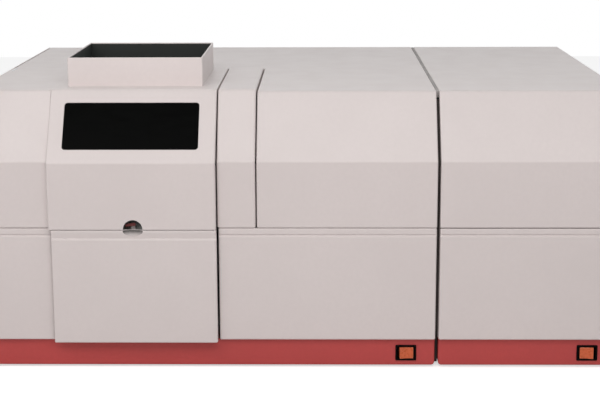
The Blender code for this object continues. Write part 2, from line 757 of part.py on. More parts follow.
def inlet(x):
    """A three-pin mains inlet let into a rear panel."""
    outer = REAR_Y + SHEET / 2 + SEAT
    lip = plate([rectangle((x, INLET_Z), INLET_FLANGE, INLET_LIP)], facing("xz", outer + INLET_LIP / 2), INLET_LIP)
    face = outer + INLET_LIP
    body = plate(
        [rectangle((x, INLET_Z), INLET_BODY)], facing("xz", face - INLET_DEPTH / 2 - INLET_LIP / 2), INLET_DEPTH,
    )
    half_x, half_z = INLET_CAVITY[0] / 2, INLET_CAVITY[1] / 2
    cavity_line = [
        (x - half_x, INLET_Z - half_z), (x + half_x, INLET_Z - half_z),
        (x + half_x, INLET_Z), (x + half_x - half_z, INLET_Z + half_z),
        (x - half_x + half_z, INLET_Z + half_z), (x - half_x, INLET_Z),
    ]
    depth = INLET_CAVITY_DEPTH + OVERRUN
    cavity = plate([cavity_line], facing("xz", face + OVERRUN - depth / 2), depth)
    floor = face - INLET_CAVITY_DEPTH
    pins = []
    for side in (-1, 0, 1):
        pin_x, pin_z = x + side * INLET_PIN_PITCH, INLET_Z + (0 if side else INLET_PIN[0])
        pins.append(block(
            (pin_x - INLET_PIN[0] / 2, floor - INLET_LIP, pin_z - INLET_PIN[2] / 2),
            (pin_x + INLET_PIN[0] / 2, floor + INLET_PIN[1], pin_z + INLET_PIN[2] / 2),
        ))
    shell = cut_shape(joined_shape([lip, body]), [cavity])
    return joined_shape([shell, *pins])


MANIFOLD_DEPTH = 34 * MM
MANIFOLD_HEIGHT = 46 * MM
MANIFOLD_MARGIN = 26 * MM
NUT_RADIUS = 11 * MM
NUT_DEPTH = 7 * MM
BARB_RADIUS = 4.5 * MM
BARB_STEP = 1 * MM
BARB_LENGTH = 6 * MM
VALVE_RADIUS = 12 * MM
VALVE_HEIGHT = 38 * MM


def make_rear_fittings():
    node("main_power_inlet", "black_plastic", [inlet(MAIN_INLET_X)])
    node("furnace_power_inlet", "black_plastic", [inlet(RIGHT_X - INLET_INSET)])
    places = port_places()
    back = REAR_INNER_Y - SEAT
    pieces = [block(
        (places[0] - MANIFOLD_MARGIN, back - MANIFOLD_DEPTH, PORT_Z - MANIFOLD_HEIGHT / 2),
        (places[-1] + MANIFOLD_MARGIN, back, PORT_Z + MANIFOLD_HEIGHT / 2),
    )]
    outer = REAR_Y + SHEET / 2 + SEAT
    tip = BACK_Y + REAR_REACH
    for x in places:
        pieces.append(rod((x, back - SHEET, PORT_Z), (x, outer + SHEET, PORT_Z), PORT_RADIUS, sides=12))
        pieces.append(rod((x, outer, PORT_Z), (x, outer + NUT_DEPTH, PORT_Z), NUT_RADIUS, sides=6))
        barb = [(BARB_RADIUS - BARB_STEP, tip - outer)]
        barb += [(BARB_RADIUS + BARB_STEP, tip - outer - BARB_LENGTH), (BARB_RADIUS, tip - outer - BARB_LENGTH)]
        barb += [(BARB_RADIUS, 0)]
        barb = [(0, tip - outer), *barb, (0, 0)]
        pieces.append(turned(barb, (x, outer, PORT_Z), (0, 1, 0), sides=12))
        valve_y = back - MANIFOLD_DEPTH / 2
        foot = PORT_Z + MANIFOLD_HEIGHT / 2 - SHEET
        pieces.append(rod((x, valve_y, foot), (x, valve_y, foot + VALVE_HEIGHT), VALVE_RADIUS, sides=12))
    node("gas_manifold", "brass", pieces)


# Rocker switches
BEZEL_LIP = 2.2 * MM
BEZEL_DEPTH = 22 * MM
BEZEL_CORNER = 2 * MM
ROCKER_SIZE = (20.1 * MM, 17.6 * MM)
ROCKER_DEPTH = 8 * MM  # from its axis to its face's ends
ROCKER_DIP = 1.3 * MM
ROCKER_TAIL = 3 * MM
ROCKER_PIN = 2 * MM


def rocker_axis_y():
    """The axis lies so that the pressed end comes level with the frame."""
    tilt = math.radians(ROCK_DEGREES)
    pressed = ROCKER_DEPTH * math.cos(tilt) - ROCKER_SIZE[0] / 2 * math.sin(tilt)
    return FRONT_Y + BASE_SETBACK - BEZEL_LIP - SEAT + pressed


def bezel(x):
    front = FRONT_Y + BASE_SETBACK - SEAT
    z = FOOT_HEIGHT + SWITCH_HEIGHT
    lip = plate([rectangle((x, z), SWITCH_FRAME, BEZEL_CORNER)], facing("xz", front - BEZEL_LIP / 2), BEZEL_LIP)
    body = plate(
        [rectangle((x, z), SWITCH_BODY)], facing("xz", front - BEZEL_LIP / 2 + BEZEL_DEPTH / 2), BEZEL_DEPTH,
    )
    deep = BEZEL_DEPTH - BEZEL_LIP * 2 + OVERRUN
    cell = plate([rectangle((x, z), SWITCH_CELL)], facing("xz", front - BEZEL_LIP - OVERRUN + deep / 2), deep)
    shell = cut_shape(joined_shape([lip, body]), [cell])
    reach = (SWITCH_CELL[1] - ROCKER_SIZE[1]) / 2 + ROCKER_PIN
    axis_y = rocker_axis_y()
    pins = []
    for side in (-1, 1):
        wall = z + side * (SWITCH_CELL[1] / 2 + SHEET / 2)
        pins.append(rod((x, axis_y, wall), (x, axis_y, wall - side * (reach + SHEET / 2)), ROCKER_PIN / 2, sides=12))
    return joined_shape([shell, *pins])


def rocker(name, x, side):
    """A rocker turned so that its left (+1) or right (-1) end stands out, on pins above and below."""
    z = FOOT_HEIGHT + SWITCH_HEIGHT
    half = ROCKER_SIZE[0] / 2
    outline = [
        (-half, -ROCKER_DEPTH), (0, -ROCKER_DEPTH + ROCKER_DIP), (half, -ROCKER_DEPTH),
        (half, 0), (half / 2, ROCKER_TAIL), (-half / 2, ROCKER_TAIL), (-half, 0),
    ]
    body = plate([outline], Matrix.Identity(4), ROCKER_SIZE[1])
    holes = []
    for end in (-1, 1):
        top = end * (ROCKER_SIZE[1] / 2 + OVERRUN)
        inner = end * (ROCKER_SIZE[1] / 2 - ROCKER_PIN - SEAT)
        holes.append(rod((0, 0, inner), (0, 0, top), ROCKER_PIN / 2 + SEAT, sides=12))
    body = cut_shape(body, holes)
    axis = Vector((x, rocker_axis_y(), z))
    body.data.transform(Matrix.Translation(axis) @ Matrix.Rotation(math.radians(ROCK_DEGREES) * side, 4, "Z"))
    item = node(name, "orange_lens", [body])
    return carry(name + "_axis", axis, [item])


def make_switches():
    main_x, furnace_x = MAIN_RIGHT_X - SWITCH_INSET, RIGHT_X - SWITCH_INSET - FURNACE_SWITCH_SHIFT
    node("main_switch_bezel", "black_plastic", [bezel(main_x)])
    node("furnace_switch_bezel", "black_plastic", [bezel(furnace_x)])
    rocker("main_rocker", main_x, 1)
    rocker("furnace_rocker", furnace_x, -1)
    base_tray("base_tray", LEFT_X, MAIN_RIGHT_X, main_x)
    base_tray("furnace_base_tray", FURNACE_X, RIGHT_X, furnace_x)


FURNACE_SWITCH_SHIFT = 7.3 * MM


# Hood, its window and chimney, the lid and their gooseneck arms
WINDOW_LEFT = 26 * MM  # from the hood's left edge
WINDOW_RIGHT = 25.9 * MM
WINDOW_WIDTH = HOOD_WIDTH - WINDOW_LEFT - WINDOW_RIGHT
WINDOW_START = 22.4 * MM  # up the slope from the bevel
WINDOW_HEIGHT = 78.9 * MM
WINDOW_CORNER = 5 * MM
PANE_LAP = 8 * MM
PANE_THICKNESS = 3 * MM
RETAINER_WIDTH = 9 * MM
CHIMNEY_X = 24 * MM  # from the hood's left edge
CHIMNEY_RIGHT = 24.4 * MM
CHIMNEY_FRONT = 92 * MM
CHIMNEY_BACK = 18.5 * MM
CHIMNEY_WIDTH = HOOD_WIDTH - CHIMNEY_X - CHIMNEY_RIGHT
CHIMNEY_DEPTH = LID_DEPTH - CHIMNEY_FRONT - CHIMNEY_BACK
CHIMNEY_HEIGHT = 44.6 * MM
CHIMNEY_CORNER = 1.6 * MM
CHIMNEY_SHEET = 1.2 * MM
CHIMNEY_RIM = 5 * MM
CHIMNEY_TURNDOWN = 9 * MM
CHIMNEY_FOOT = 10 * MM
NOTCH_RADIUS = 15 * MM
NOTCH_SHIFT = 3 * MM  # notch's centre, right of the hood's middle
HOOD_FOLD = 4 * MM
HOOD_FLANGE = 14 * MM
LIP_CLEARANCE = 0.8 * MM


def slope_frame(front, top):
    """Axes on a sloping front: X, up the slope, and out of the sheet, from the bevel's line."""
    start = Vector((0, front, BEVEL_Z))
    upward = (Vector((0, FRONT_Y + SLOPE_RUN, top)) - start).normalized()
    across = Vector((1, 0, 0))
    return start, across, upward, across.cross(upward)


def on_slope(outlines, level, thickness):
    """A plate parallel to the hood's slope, its outer face at a level above it."""
    start, across, upward, outward = slope_frame(FRONT_Y - PROUD, LID_TOP_Z)
    frame = framed(across, upward, outward, start + outward * (level - thickness / 2))
    return plate(outlines, frame, thickness)


def swing_relief(low_x, high_x):
    """Keeps a lid clear of the rear strip's lip as it turns."""
    reach = math.hypot(PIVOT_BACK - STRIP_SEAM, TOP_Z - PIVOT_Z) + LIP_CLEARANCE
    return rod((low_x - OVERRUN, PIVOT_Y, PIVOT_Z), (high_x + OVERRUN, PIVOT_Y, PIVOT_Z), reach, sides=48)


def chimney_place():
    left, front = HOOD_X + CHIMNEY_X, FRONT_Y + CHIMNEY_FRONT
    return (left + CHIMNEY_WIDTH / 2, front + CHIMNEY_DEPTH / 2), (CHIMNEY_WIDTH, CHIMNEY_DEPTH)


def make_hood():
    points = upper_points(FRONT_Y - PROUD, LID_TOP_Z, LID_BACK_Y, lip=0)
    points[0] = (FRONT_Y - PROUD, WAIST_Z + SEAT)
    flanges, folds = (HOOD_FLANGE, HOOD_FLANGE), (HOOD_FOLD, FOLD)
    body = folded_cover(points, UPPER_BENDS, HOOD_X, HOOD_RIGHT_X, flanges, folds)
    middle = (HOOD_X + WINDOW_LEFT + WINDOW_WIDTH / 2, WINDOW_START + WINDOW_HEIGHT / 2)
    opening = rectangle(middle, (WINDOW_WIDTH, WINDOW_HEIGHT), WINDOW_CORNER)
    window_cut = on_slope([opening], OVERRUN, 2 * OVERRUN + SHEET)
    centre, size = chimney_place()
    hole = (size[0] + 2 * SEAT, size[1] + 2 * SEAT)
    chimney_cut = plate([rectangle(centre, hole)], facing("xy", LID_TOP_Z), 2 * OVERRUN)
    notch_x = (HOOD_X + HOOD_RIGHT_X) / 2 + NOTCH_SHIFT
    notch_front = FRONT_Y - PROUD
    notch = rod(
        (notch_x, notch_front - OVERRUN, WAIST_Z), (notch_x, notch_front + SHEET + OVERRUN, WAIST_Z), NOTCH_RADIUS,
        sides=32,
    )
    body = cut_shape(body, [window_cut, chimney_cut, notch, swing_relief(HOOD_X, HOOD_RIGHT_X)])
    hood = node("flame_hood", "grey_enamel", [body, *map(gooseneck_arm, hood_arm_places())])
    pane_size = (WINDOW_WIDTH + 2 * PANE_LAP, WINDOW_HEIGHT + 2 * PANE_LAP)
    pane_line = rectangle(middle, pane_size, WINDOW_CORNER)
    pane = node("hood_window", "smoked_pane", [on_slope([pane_line], -SHEET - SEAT, PANE_THICKNESS)])
    inner = (WINDOW_WIDTH, WINDOW_HEIGHT)
    inner_line = rectangle(middle, inner, WINDOW_CORNER)
    level = -SHEET - 2 * SEAT - PANE_THICKNESS
    retainer = node("window_retainer", "zinc_sheet", [on_slope([pane_line, inner_line], level, SHEET)])
    under = LID_TOP_Z - SHEET - SEAT
    top = LID_TOP_Z + CHIMNEY_HEIGHT
    section = [
        (CHIMNEY_FOOT, under), (0, under), (0, top), (-CHIMNEY_RIM, top), (-CHIMNEY_RIM, top - CHIMNEY_TURNDOWN),
    ]
    chimney = node("chimney_collar", "dark_sheet", [ring_wall(centre, size, CHIMNEY_CORNER, section, CHIMNEY_SHEET)])
    carry("hood_axis", (BURNER_X, PIVOT_Y, PIVOT_Z), [hood, pane, retainer, chimney])


ARM_TAB = 62 * MM
ARM_HUB = 8 * MM
ARM_LEG = 10 * MM
LID_ARM_INSET = 8 * MM


def hood_arm_places():
    return LINER_X + SHEET + ARM_WALL_GAP, LINER_RIGHT_X - SHEET - ARM_WALL_GAP - ARM_PLATE


def lid_arm_places():
    return LEFT_X + SHEET + LID_ARM_INSET, LINER_X - LID_ARM_INSET * 2


def gooseneck_line():
    """Arm in its plane: a tab into the lid's sheet, an arc round the strip's lip, and a leg up to the hub."""
    under = PIVOT_DROP - SHEET / 2
    inner_start = math.pi - math.asin(under / ARM_INNER)
    end_inner = math.tau * 3 / 4 - math.asin(ARM_LEG / 2 / ARM_INNER)
    steps = 2 * BEND_STEPS
    inner = [inner_start + (end_inner - inner_start) * step / steps for step in range(steps + 1)]
    inner_arc = [(ARM_INNER * math.cos(a), ARM_INNER * math.sin(a)) for a in inner]
    hub_start = math.pi + math.acos(ARM_LEG / 2 / ARM_HUB)
    hub_end = math.tau - math.acos(ARM_LEG / 2 / ARM_HUB)
    hub = [hub_start - (math.tau - hub_end + hub_start) * step / steps for step in range(steps + 1)]
    hub_arc = [(ARM_HUB * math.cos(a), ARM_HUB * math.sin(a)) for a in hub]
    start_outer = math.tau * 3 / 4 + math.asin(ARM_LEG / 2 / ARM_OUTER)
    outer = [start_outer - (start_outer - math.pi) * step / steps for step in range(steps + 1)]
    outer_arc = [(ARM_OUTER * math.cos(a), ARM_OUTER * math.sin(a)) for a in outer]
    tab = [(-ARM_TAB, under - ARM_HUB), (-ARM_TAB, under)]
    return inner_arc + hub_arc + outer_arc + tab


def gooseneck_arm(x):
    outline = [(PIVOT_Y + y, PIVOT_Z + z) for y, z in gooseneck_line()]
    hole = circle((PIVOT_Y, PIVOT_Z), PIVOT_RADIUS + SEAT, sides=12)
    return plate([outline, hole], facing("yz", x + ARM_PLATE / 2), ARM_PLATE)


def make_lid():
    points = upper_points(FRONT_Y, LID_TOP_Z, LID_BACK_Y, lip=0)
    low_x = LEFT_X + SHEET + 2 * SEAT
    body = folded_cover(points, UPPER_BENDS, low_x, LID_RIGHT_X)
    body = cut_shape(body, [swing_relief(low_x, LID_RIGHT_X)])
    lid = node("lamp_lid", "grey_enamel", [body, *map(gooseneck_arm, lid_arm_places())])
    carry("lid_axis", (LEFT_X + LID_WIDTH / 2, PIVOT_Y, PIVOT_Z), [lid])


STUD_HEAD = 2 * MM
STUD_HEAD_RADIUS = 6.5 * MM


def pivot_stud(wall, end):
    """A headed stud from a wall through an arm's hub."""
    head_end = end + math.copysign(STUD_HEAD, end - wall)
    shank = rod((wall, PIVOT_Y, PIVOT_Z), ((end + head_end) / 2, PIVOT_Y, PIVOT_Z), PIVOT_RADIUS, sides=12)
    head = rod((end, PIVOT_Y, PIVOT_Z), (head_end, PIVOT_Y, PIVOT_Z), STUD_HEAD_RADIUS, sides=12)
    return [shank, head]


# Burner door with its hidden hinges
DOOR_BOTTOM_LAP = 2 * MM
DOOR_RETURN = 9 * MM
DOOR_FLANGE = 6.8 * MM
DOOR_FOLDS = (6 * MM, 2.5 * MM)
DOOR_TOP_GAP = 0.5 * MM
DOOR_PIN_X = 6.5 * MM
DOOR_PIN_Y = 5.5 * MM  # behind the door's face
DOOR_PIN_RADIUS = 1.5 * MM
DOOR_HUB_RADIUS = 3 * MM
DOOR_TAB_HEIGHT = 8 * MM
DOOR_TAB_SHARES = (0.16, 0.84)
DOOR_EAR = 2 * MM
DOOR_EAR_WIDTH = 7 * MM
DOOR_NOTCH_MARGIN = 2 * MM
TAB_START = 5 * MM
TAB_DEPTH = 12 * MM
LINER_SETBACK = 4 * MM  # liner's front edge behind the door
CATCH_SIZE = (9 * MM, 14 * MM, 26 * MM)
SCOOP_RADIUS = 12 * MM


def door_pin():
    return DOOR_X + DOOR_PIN_X, FRONT_Y - PROUD + DOOR_PIN_Y


def tab_heights():
    return [BASE_TOP + LOWER_HEIGHT * share for share in DOOR_TAB_SHARES]


def make_door():
    bottom = BASE_TOP - DOOR_BOTTOM_LAP
    points = panel_points(FRONT_Y - PROUD, DOOR_RETURN, bottom)
    points = [(y, z - DOOR_TOP_GAP if z > BEVEL_Z - UPPER_FRONT_HEIGHT - CHAMFER_HEIGHT * 2 else z) for y, z in points]
    flanges = (DOOR_FLANGE, DOOR_FLANGE)
    body = folded_cover(points, PANEL_BENDS, DOOR_X, DOOR_RIGHT_X, flanges, DOOR_FOLDS, ARC_STEPS)
    pin_x, pin_y = door_pin()
    cuts, hinges = [], []
    for z in tab_heights():
        half = DOOR_TAB_HEIGHT / 2 + DOOR_NOTCH_MARGIN
        cuts.append(block(
            (DOOR_X - OVERRUN, pin_y - DOOR_HUB_RADIUS - SEAT, z - half),
            (pin_x - DOOR_HUB_RADIUS, FRONT_Y + OVERRUN, z + half),
        ))
        for side in (-1, 1):
            near = z + side * (DOOR_TAB_HEIGHT / 2 + SEAT)
            far = near + side * DOOR_EAR
            hinges.append(block(
                (pin_x - DOOR_EAR_WIDTH / 2 + SHEET, FRONT_Y - PROUD + SHEET / 2, min(near, far)),
                (pin_x + DOOR_EAR_WIDTH / 2 + SHEET, FRONT_Y - DOOR_EAR, max(near, far)),
            ))
        reach = DOOR_TAB_HEIGHT / 2 + SEAT + DOOR_EAR * 2
        hinges.append(rod((pin_x, pin_y, z - reach), (pin_x, pin_y, z + reach), DOOR_PIN_RADIUS, sides=12))
    body = cut_shape(body, cuts)
    door = node("burner_door", "grey_enamel", [body, *hinges])
    carry("door_axis", (pin_x, pin_y, BASE_TOP), [door])


def door_catch():
    """The block on the liner's right wall that holds the closed door."""
    middle = (BASE_TOP + WAIST_Z) / 2
    right = LINER_RIGHT_X - SHEET / 2
    return block(
        (right - CATCH_SIZE[0], FRONT_Y - PROUD + SHEET + 2 * SEAT, middle - CATCH_SIZE[2] / 2),
        (right, FRONT_Y + CATCH_SIZE[1], middle + CATCH_SIZE[2] / 2),
    )


def door_tab(z):
    """A tab from the liner's wall that reaches round into the door and carries its pin."""
    pin_x, pin_y = door_pin()
    wall = LINER_X + SHEET / 2
    back = FRONT_Y + TAB_START + TAB_DEPTH
    outline = [
        (pin_x - DOOR_HUB_RADIUS, pin_y), (pin_x + DOOR_HUB_RADIUS, pin_y), (pin_x + DOOR_HUB_RADIUS, back),
        (wall, back), (wall, FRONT_Y + TAB_START), (pin_x - DOOR_HUB_RADIUS, FRONT_Y + TAB_START),
    ]
    body = plate([outline], facing("xy", z), DOOR_TAB_HEIGHT)
    low, high = z - DOOR_TAB_HEIGHT / 2, z + DOOR_TAB_HEIGHT / 2
    hub = rod((pin_x, pin_y, low), (pin_x, pin_y, high), DOOR_HUB_RADIUS)
    bore = rod((pin_x, pin_y, low - OVERRUN), (pin_x, pin_y, high + OVERRUN), DOOR_PIN_RADIUS + SEAT, sides=12)
    return cut_shape(joined_shape([body, hub]), [bore])


# Liner of the burner compartment
BEAM_HOLE = 20 * MM
LENS_RADIUS = 19.5 * MM


def liner_side():
    """A side wall: behind the door below, up against the hood above."""
    points = upper_points(FRONT_Y - PROUD, LID_TOP_Z, LID_BACK_Y, lip=0)
    inner = bent(points, UPPER_BENDS, SHEET + SEAT)
    step = WAIST_Z + FLANGE
    front = [(FRONT_Y + LINER_SETBACK, BASE_TOP + SEAT), (FRONT_Y + LINER_SETBACK, step), (inner[0][0], step)]
    strip_under = TOP_Z - SHEET - SEAT
    rear = [(LID_BACK_Y - FLANGE, inner[-1][1]), (LID_BACK_Y - FLANGE, strip_under - STRIP_LIP)]
    rear += [(LINER_BACK_Y, strip_under - STRIP_LIP), (LINER_BACK_Y, BASE_TOP + SEAT)]
    return front + inner[1:-1] + rear


def make_liner():
    walls = []
    hole = circle((BURNER_Y, BEAM_Z), BEAM_HOLE)
    for x in (LINER_X, LINER_RIGHT_X - SHEET):
        walls.append(plate([liner_side(), hole], facing("yz", x + SHEET / 2), SHEET))
    low, high = LINER_FLOOR_Z - SHEET, TOP_Z - SHEET - 2 * SEAT - STRIP_LIP
    front, back = FRONT_Y + LINER_SETBACK + SEAT, LINER_BACK_Y - SEAT
    line = [
        (front, low), (back, low), (back, high), (back - SHEET, high), (back - SHEET, low + SHEET),
        (front, low + SHEET),
    ]
    middle = (LINER_X + LINER_RIGHT_X) / 2
    pan = plate([line], facing("yz", middle), LINER_RIGHT_X - LINER_X - SHEET)
    left_arm, right_arm = hood_arm_places()
    studs = [
        *pivot_stud(LINER_X + SHEET / 2, lid_arm_places()[1] - SEAT),
        *pivot_stud(LINER_X + SHEET / 2, left_arm + ARM_PLATE + SEAT),
        *pivot_stud(LINER_RIGHT_X - SHEET / 2, right_arm - SEAT),
    ]
    tabs = [door_tab(z) for z in tab_heights()]
    node("burner_liner", "plain_steel", [pan, *walls, *studs, *tabs, door_catch()])


# Light path
TUBE_WALL = 2 * MM
TUBE_COLLAR = 24 * MM
COLLAR_DEPTH = 3 * MM
LENS_REACH = 10 * MM
TURRET_DROP = 31 * MM  # axis below the beam
LAMP_RADIUS = 17 * MM
LAMP_BASE_RADIUS = 18 * MM
LAMP_START = 34 * MM  # behind the front, so that the pins pass the panel's return
LAMP_LENGTH = 140 * MM
LAMP_BASE = 34 * MM
LAMP_PIN = 7 * MM
TURRET_INSET = 62 * MM
TURRET_X = LEFT_X + TURRET_INSET
TURRET_Z = BEAM_Z - TURRET_DROP
LAMPS = 4
DISC_DEPTH = 5 * MM
DISC_MARGIN = 5 * MM
DISC_SHARES = (0.36, 0.72)
AXLE_RADIUS = 5 * MM
STAND_SHEET = 4 * MM
STAND_WIDTH = 26 * MM
MOTOR_SIZE = (36 * MM, 30 * MM)
MIRROR_SIZE = 26 * MM
MIRROR_PLATE = 4 * MM
MIRROR_RISE = 12 * MM  # the plate's height above the mirror, to carry it past the lens tube


def lens_tube(name, low_x, high_x, collar_x, material):
    """A tube along the beam with a collar against a wall."""
    outer = LENS_RADIUS
    inner = outer - TUBE_WALL
    length = high_x - low_x
    near = collar_x - low_x
    far = near + COLLAR_DEPTH
    profile = [(outer, length)]
    if far < length:
        profile += [(outer, far)]
    profile += [(TUBE_COLLAR, far), (TUBE_COLLAR, near)]
    if near > 0:
        profile += [(outer, near), (outer, 0)]
    profile += [(inner, 0), (inner, length)]
    return node(name, material, [turned(profile, (low_x, BURNER_Y, BEAM_Z), (1, 0, 0), hollow=True)])


def lamp(name, x, z):
    """A hollow-cathode lamp: glass body with a waist, window end, plastic base and pins."""
    start = FRONT_Y + LAMP_START
    profile = [
        (0, LAMP_LENGTH), (LAMP_RADIUS * 0.6, LAMP_LENGTH), (LAMP_RADIUS * 0.6, LAMP_LENGTH * 0.8),
        (LAMP_RADIUS, LAMP_LENGTH * 0.72), (LAMP_RADIUS, LAMP_BASE), (LAMP_BASE_RADIUS, LAMP_BASE),
        (LAMP_BASE_RADIUS, 0), (0, 0),
    ]
    body = turned(profile, (x, start, z), (0, 1, 0), sides=12)
    pins = []
    for side in (-1, 1):
        pin_x = x + side * LAMP_RADIUS / 2
        pins.append(rod((pin_x, start - LAMP_PIN, z), (pin_x, start + LAMP_PIN, z), LAMP_PIN / 5, sides=8))
    return node(name, "lamp_glass", [body, *pins])


def lamp_places():
    places = []
    for index in range(LAMPS):
        angle = math.pi / 2 + math.tau * index / LAMPS
        places.append((TURRET_X + TURRET_DROP * math.cos(angle), TURRET_Z + TURRET_DROP * math.sin(angle)))
    return places


def make_turret():
    start = FRONT_Y + LAMP_START
    holes = [circle(place, LAMP_RADIUS + 2 * SEAT, sides=12) for place in lamp_places()]
    rim = circle((TURRET_X, TURRET_Z), TURRET_DROP + LAMP_RADIUS + DISC_MARGIN, sides=24)
    discs = []
    for share in DISC_SHARES:
        middle = start + LAMP_BASE + (LAMP_LENGTH - LAMP_BASE) * share
        discs.append(plate([rim, *holes], facing("xz", middle), DISC_DEPTH))
    discs.append(rod(
        (TURRET_X, start, TURRET_Z), (TURRET_X, turret_stand_back() + STAND_SHEET + SEAT, TURRET_Z), AXLE_RADIUS,
        sides=16,
    ))
    turret = node("lamp_turret", "aluminium", discs)
    lamps = [lamp(f"cathode_lamp_{index + 1}", *place) for index, place in enumerate(lamp_places())]
    carry("turret_axis", (TURRET_X, start, TURRET_Z), [turret, *lamps])
    make_turret_stand()


def turret_stand_back():
    """Front face of the stand's rear upright."""
    return FRONT_Y + LAMP_START + LAMP_LENGTH + LAMP_PIN


def make_turret_stand():
    """A shelf from the liner's wall with an upright at each end of the axle, and the motor behind."""
    wall = LINER_X - SEAT
    radius = TURRET_DROP + LAMP_BASE_RADIUS + LAMP_PIN
    shelf_z = TURRET_Z - radius - STAND_SHEET
    back = turret_stand_back()
    low_y = BURNER_Y - MOTOR_SIZE[0] * 2
    shelf = block((TURRET_X - STAND_WIDTH / 2, low_y, shelf_z), (wall, back + STAND_SHEET, shelf_z + STAND_SHEET))
    flange = block((wall - STAND_SHEET, low_y, shelf_z), (wall, back + STAND_SHEET, shelf_z + FLANGE))
    half = STAND_WIDTH / 2
    head = AXLE_RADIUS * 2
    upright_line = [
        (TURRET_X - half, shelf_z), (TURRET_X + half, shelf_z), (TURRET_X + head, TURRET_Z + head),
        (TURRET_X - head, TURRET_Z + head),
    ]
    bore = circle((TURRET_X, TURRET_Z), AXLE_RADIUS + SEAT, sides=16)
    upright = plate([upright_line, bore], facing("xz", back + STAND_SHEET / 2), STAND_SHEET)
    node("turret_stand", "zinc_sheet", [shelf, flange, upright])
    side = MOTOR_SIZE[0] / 2
    motor_y = back + STAND_SHEET + 2 * SEAT + SEAT
    motor = block(
        (TURRET_X - side, motor_y, TURRET_Z - side), (TURRET_X + side, motor_y + MOTOR_SIZE[1], TURRET_Z + side / 2),
        edge=FOLD,
    )
    node("turret_motor", "black_plastic", [motor])


def make_mirror():
    """The fold mirror turns the lamp's light into the burner compartment."""
    half = MIRROR_SIZE / 2
    across = Vector((1, 1, 0)).normalized()
    normal = Vector((1, -1, 0)).normalized()
    place = Vector((TURRET_X, BURNER_Y, BEAM_Z)) - normal * (MIRROR_PLATE / 2)
    frame = framed(across, Vector((0, 0, 1)), normal, place)
    outline = rectangle((0, MIRROR_RISE / 2), (MIRROR_SIZE, MIRROR_SIZE + MIRROR_RISE))
    glass = plate([outline], frame, MIRROR_PLATE)
    arm_low = BEAM_Z + half + MIRROR_RISE - MIRROR_PLATE
    arm = block(
        (TURRET_X - half / 2, BURNER_Y - half / 2, arm_low),
        (LINER_X - SEAT, BURNER_Y + half / 2, arm_low + MIRROR_PLATE),
    )
    flange = block(
        (LINER_X - SEAT - STAND_SHEET, BURNER_Y - half, arm_low),
        (LINER_X - SEAT, BURNER_Y + half, arm_low + half),
    )
    node("fold_mirror", "zinc_sheet", [glass, arm, flange])


MONO_SIDE_GAP = 32.6 * MM  # to the cabinet's right panel
MONO_WIDTH = MAIN_RIGHT_X - SHEET - MONO_SIDE_GAP - MONO_X
MONO_DEPTH = 330 * MM
MONO_HEIGHT = 108 * MM
MONO_FRONT = 80 * MM
MONO_EDGE = 8 * MM
DETECTOR_RADIUS = 26 * MM
DETECTOR_LENGTH = 62 * MM
DETECTOR_SHARE = 0.7
PILLAR_RADIUS = 11 * MM
PILLAR_INSET = 30 * MM
BENCH_MARGIN = 20 * MM
BENCH_BACK = 60 * MM


def make_optics():
    lens_tube(
        "sample_lens_tube", LINER_X - TUBE_WALL * 6, LINER_X + SHEET + SEAT + COLLAR_DEPTH + LENS_REACH,
        LINER_X + SHEET + SEAT, "dark_sheet",
    )
    mono_left = MONO_X
    lens_tube(
        "entrance_tube", LINER_RIGHT_X - SHEET - SEAT - COLLAR_DEPTH - LENS_REACH, mono_left - SEAT,
        LINER_RIGHT_X - SHEET - SEAT - COLLAR_DEPTH, "dark_sheet",
    )
    front = FRONT_Y + MONO_FRONT
    base = BENCH_TOP + SEAT
    case = block(
        (mono_left, front, base), (mono_left + MONO_WIDTH, front + MONO_DEPTH, base + MONO_HEIGHT),
        edge=MONO_EDGE,
    )
    detector_x = mono_left + MONO_WIDTH * DETECTOR_SHARE
    detector_z = base + MONO_HEIGHT / 2
    case_back = front + MONO_DEPTH
    detector = rod(
        (detector_x, case_back - SHEET, detector_z), (detector_x, case_back + DETECTOR_LENGTH, detector_z),
        DETECTOR_RADIUS,
    )
    node("monochromator", "dark_sheet", [case, detector])
    low_x, high_x = mono_left - BENCH_MARGIN, mono_left + MONO_WIDTH + BENCH_MARGIN / 2
    low_y, high_y = front - BENCH_MARGIN, case_back + BENCH_BACK
    top = block((low_x, low_y, BENCH_TOP - BENCH_PLATE), (high_x, high_y, BENCH_TOP), edge=FOLD)
    pillars = []
    floor = FOOT_HEIGHT + BASE_SHEET + SEAT
    for x in (low_x + PILLAR_INSET, high_x - PILLAR_INSET):
        for y in (low_y + PILLAR_INSET, high_y - PILLAR_INSET):
            pillars.append(rod((x, y, floor), (x, y, BENCH_TOP - BENCH_PLATE / 2), PILLAR_RADIUS, sides=16))
    node("optical_bench", "aluminium", [top, *pillars])


# Power supply, board and transformer
SUPPLY_SIZE = (120 * MM, 100 * MM, 62 * MM)
SUPPLY_BACK = 70 * MM
BOARD_SIZE = (180 * MM, 2 * MM, 120 * MM)
BOARD_BACK = 120 * MM
CHIP = 26 * MM
CHIP_HEIGHT = 4 * MM
BOARD_FOOT = (14 * MM, 24 * MM)
CORE_SHARE = 0.2755  # ring core's radius in the furnace cabinet's width
CORE_RADIUS = (RIGHT_X - FURNACE_X) * CORE_SHARE
CORE_HEIGHT = 74 * MM
CORE_BORE = CORE_RADIUS * 0.28
CORE_CORNER = CORE_RADIUS * 0.2
CORE_BACK = 260 * MM
CLAMP_RADIUS = CORE_RADIUS * 0.59
CLAMP_PLATE = 4 * MM
BOLT_RADIUS = 5 * MM
TERMINAL_RADIUS = 6 * MM
TERMINAL_FLANGE = 14 * MM
TERMINAL_REACH = 20 * MM


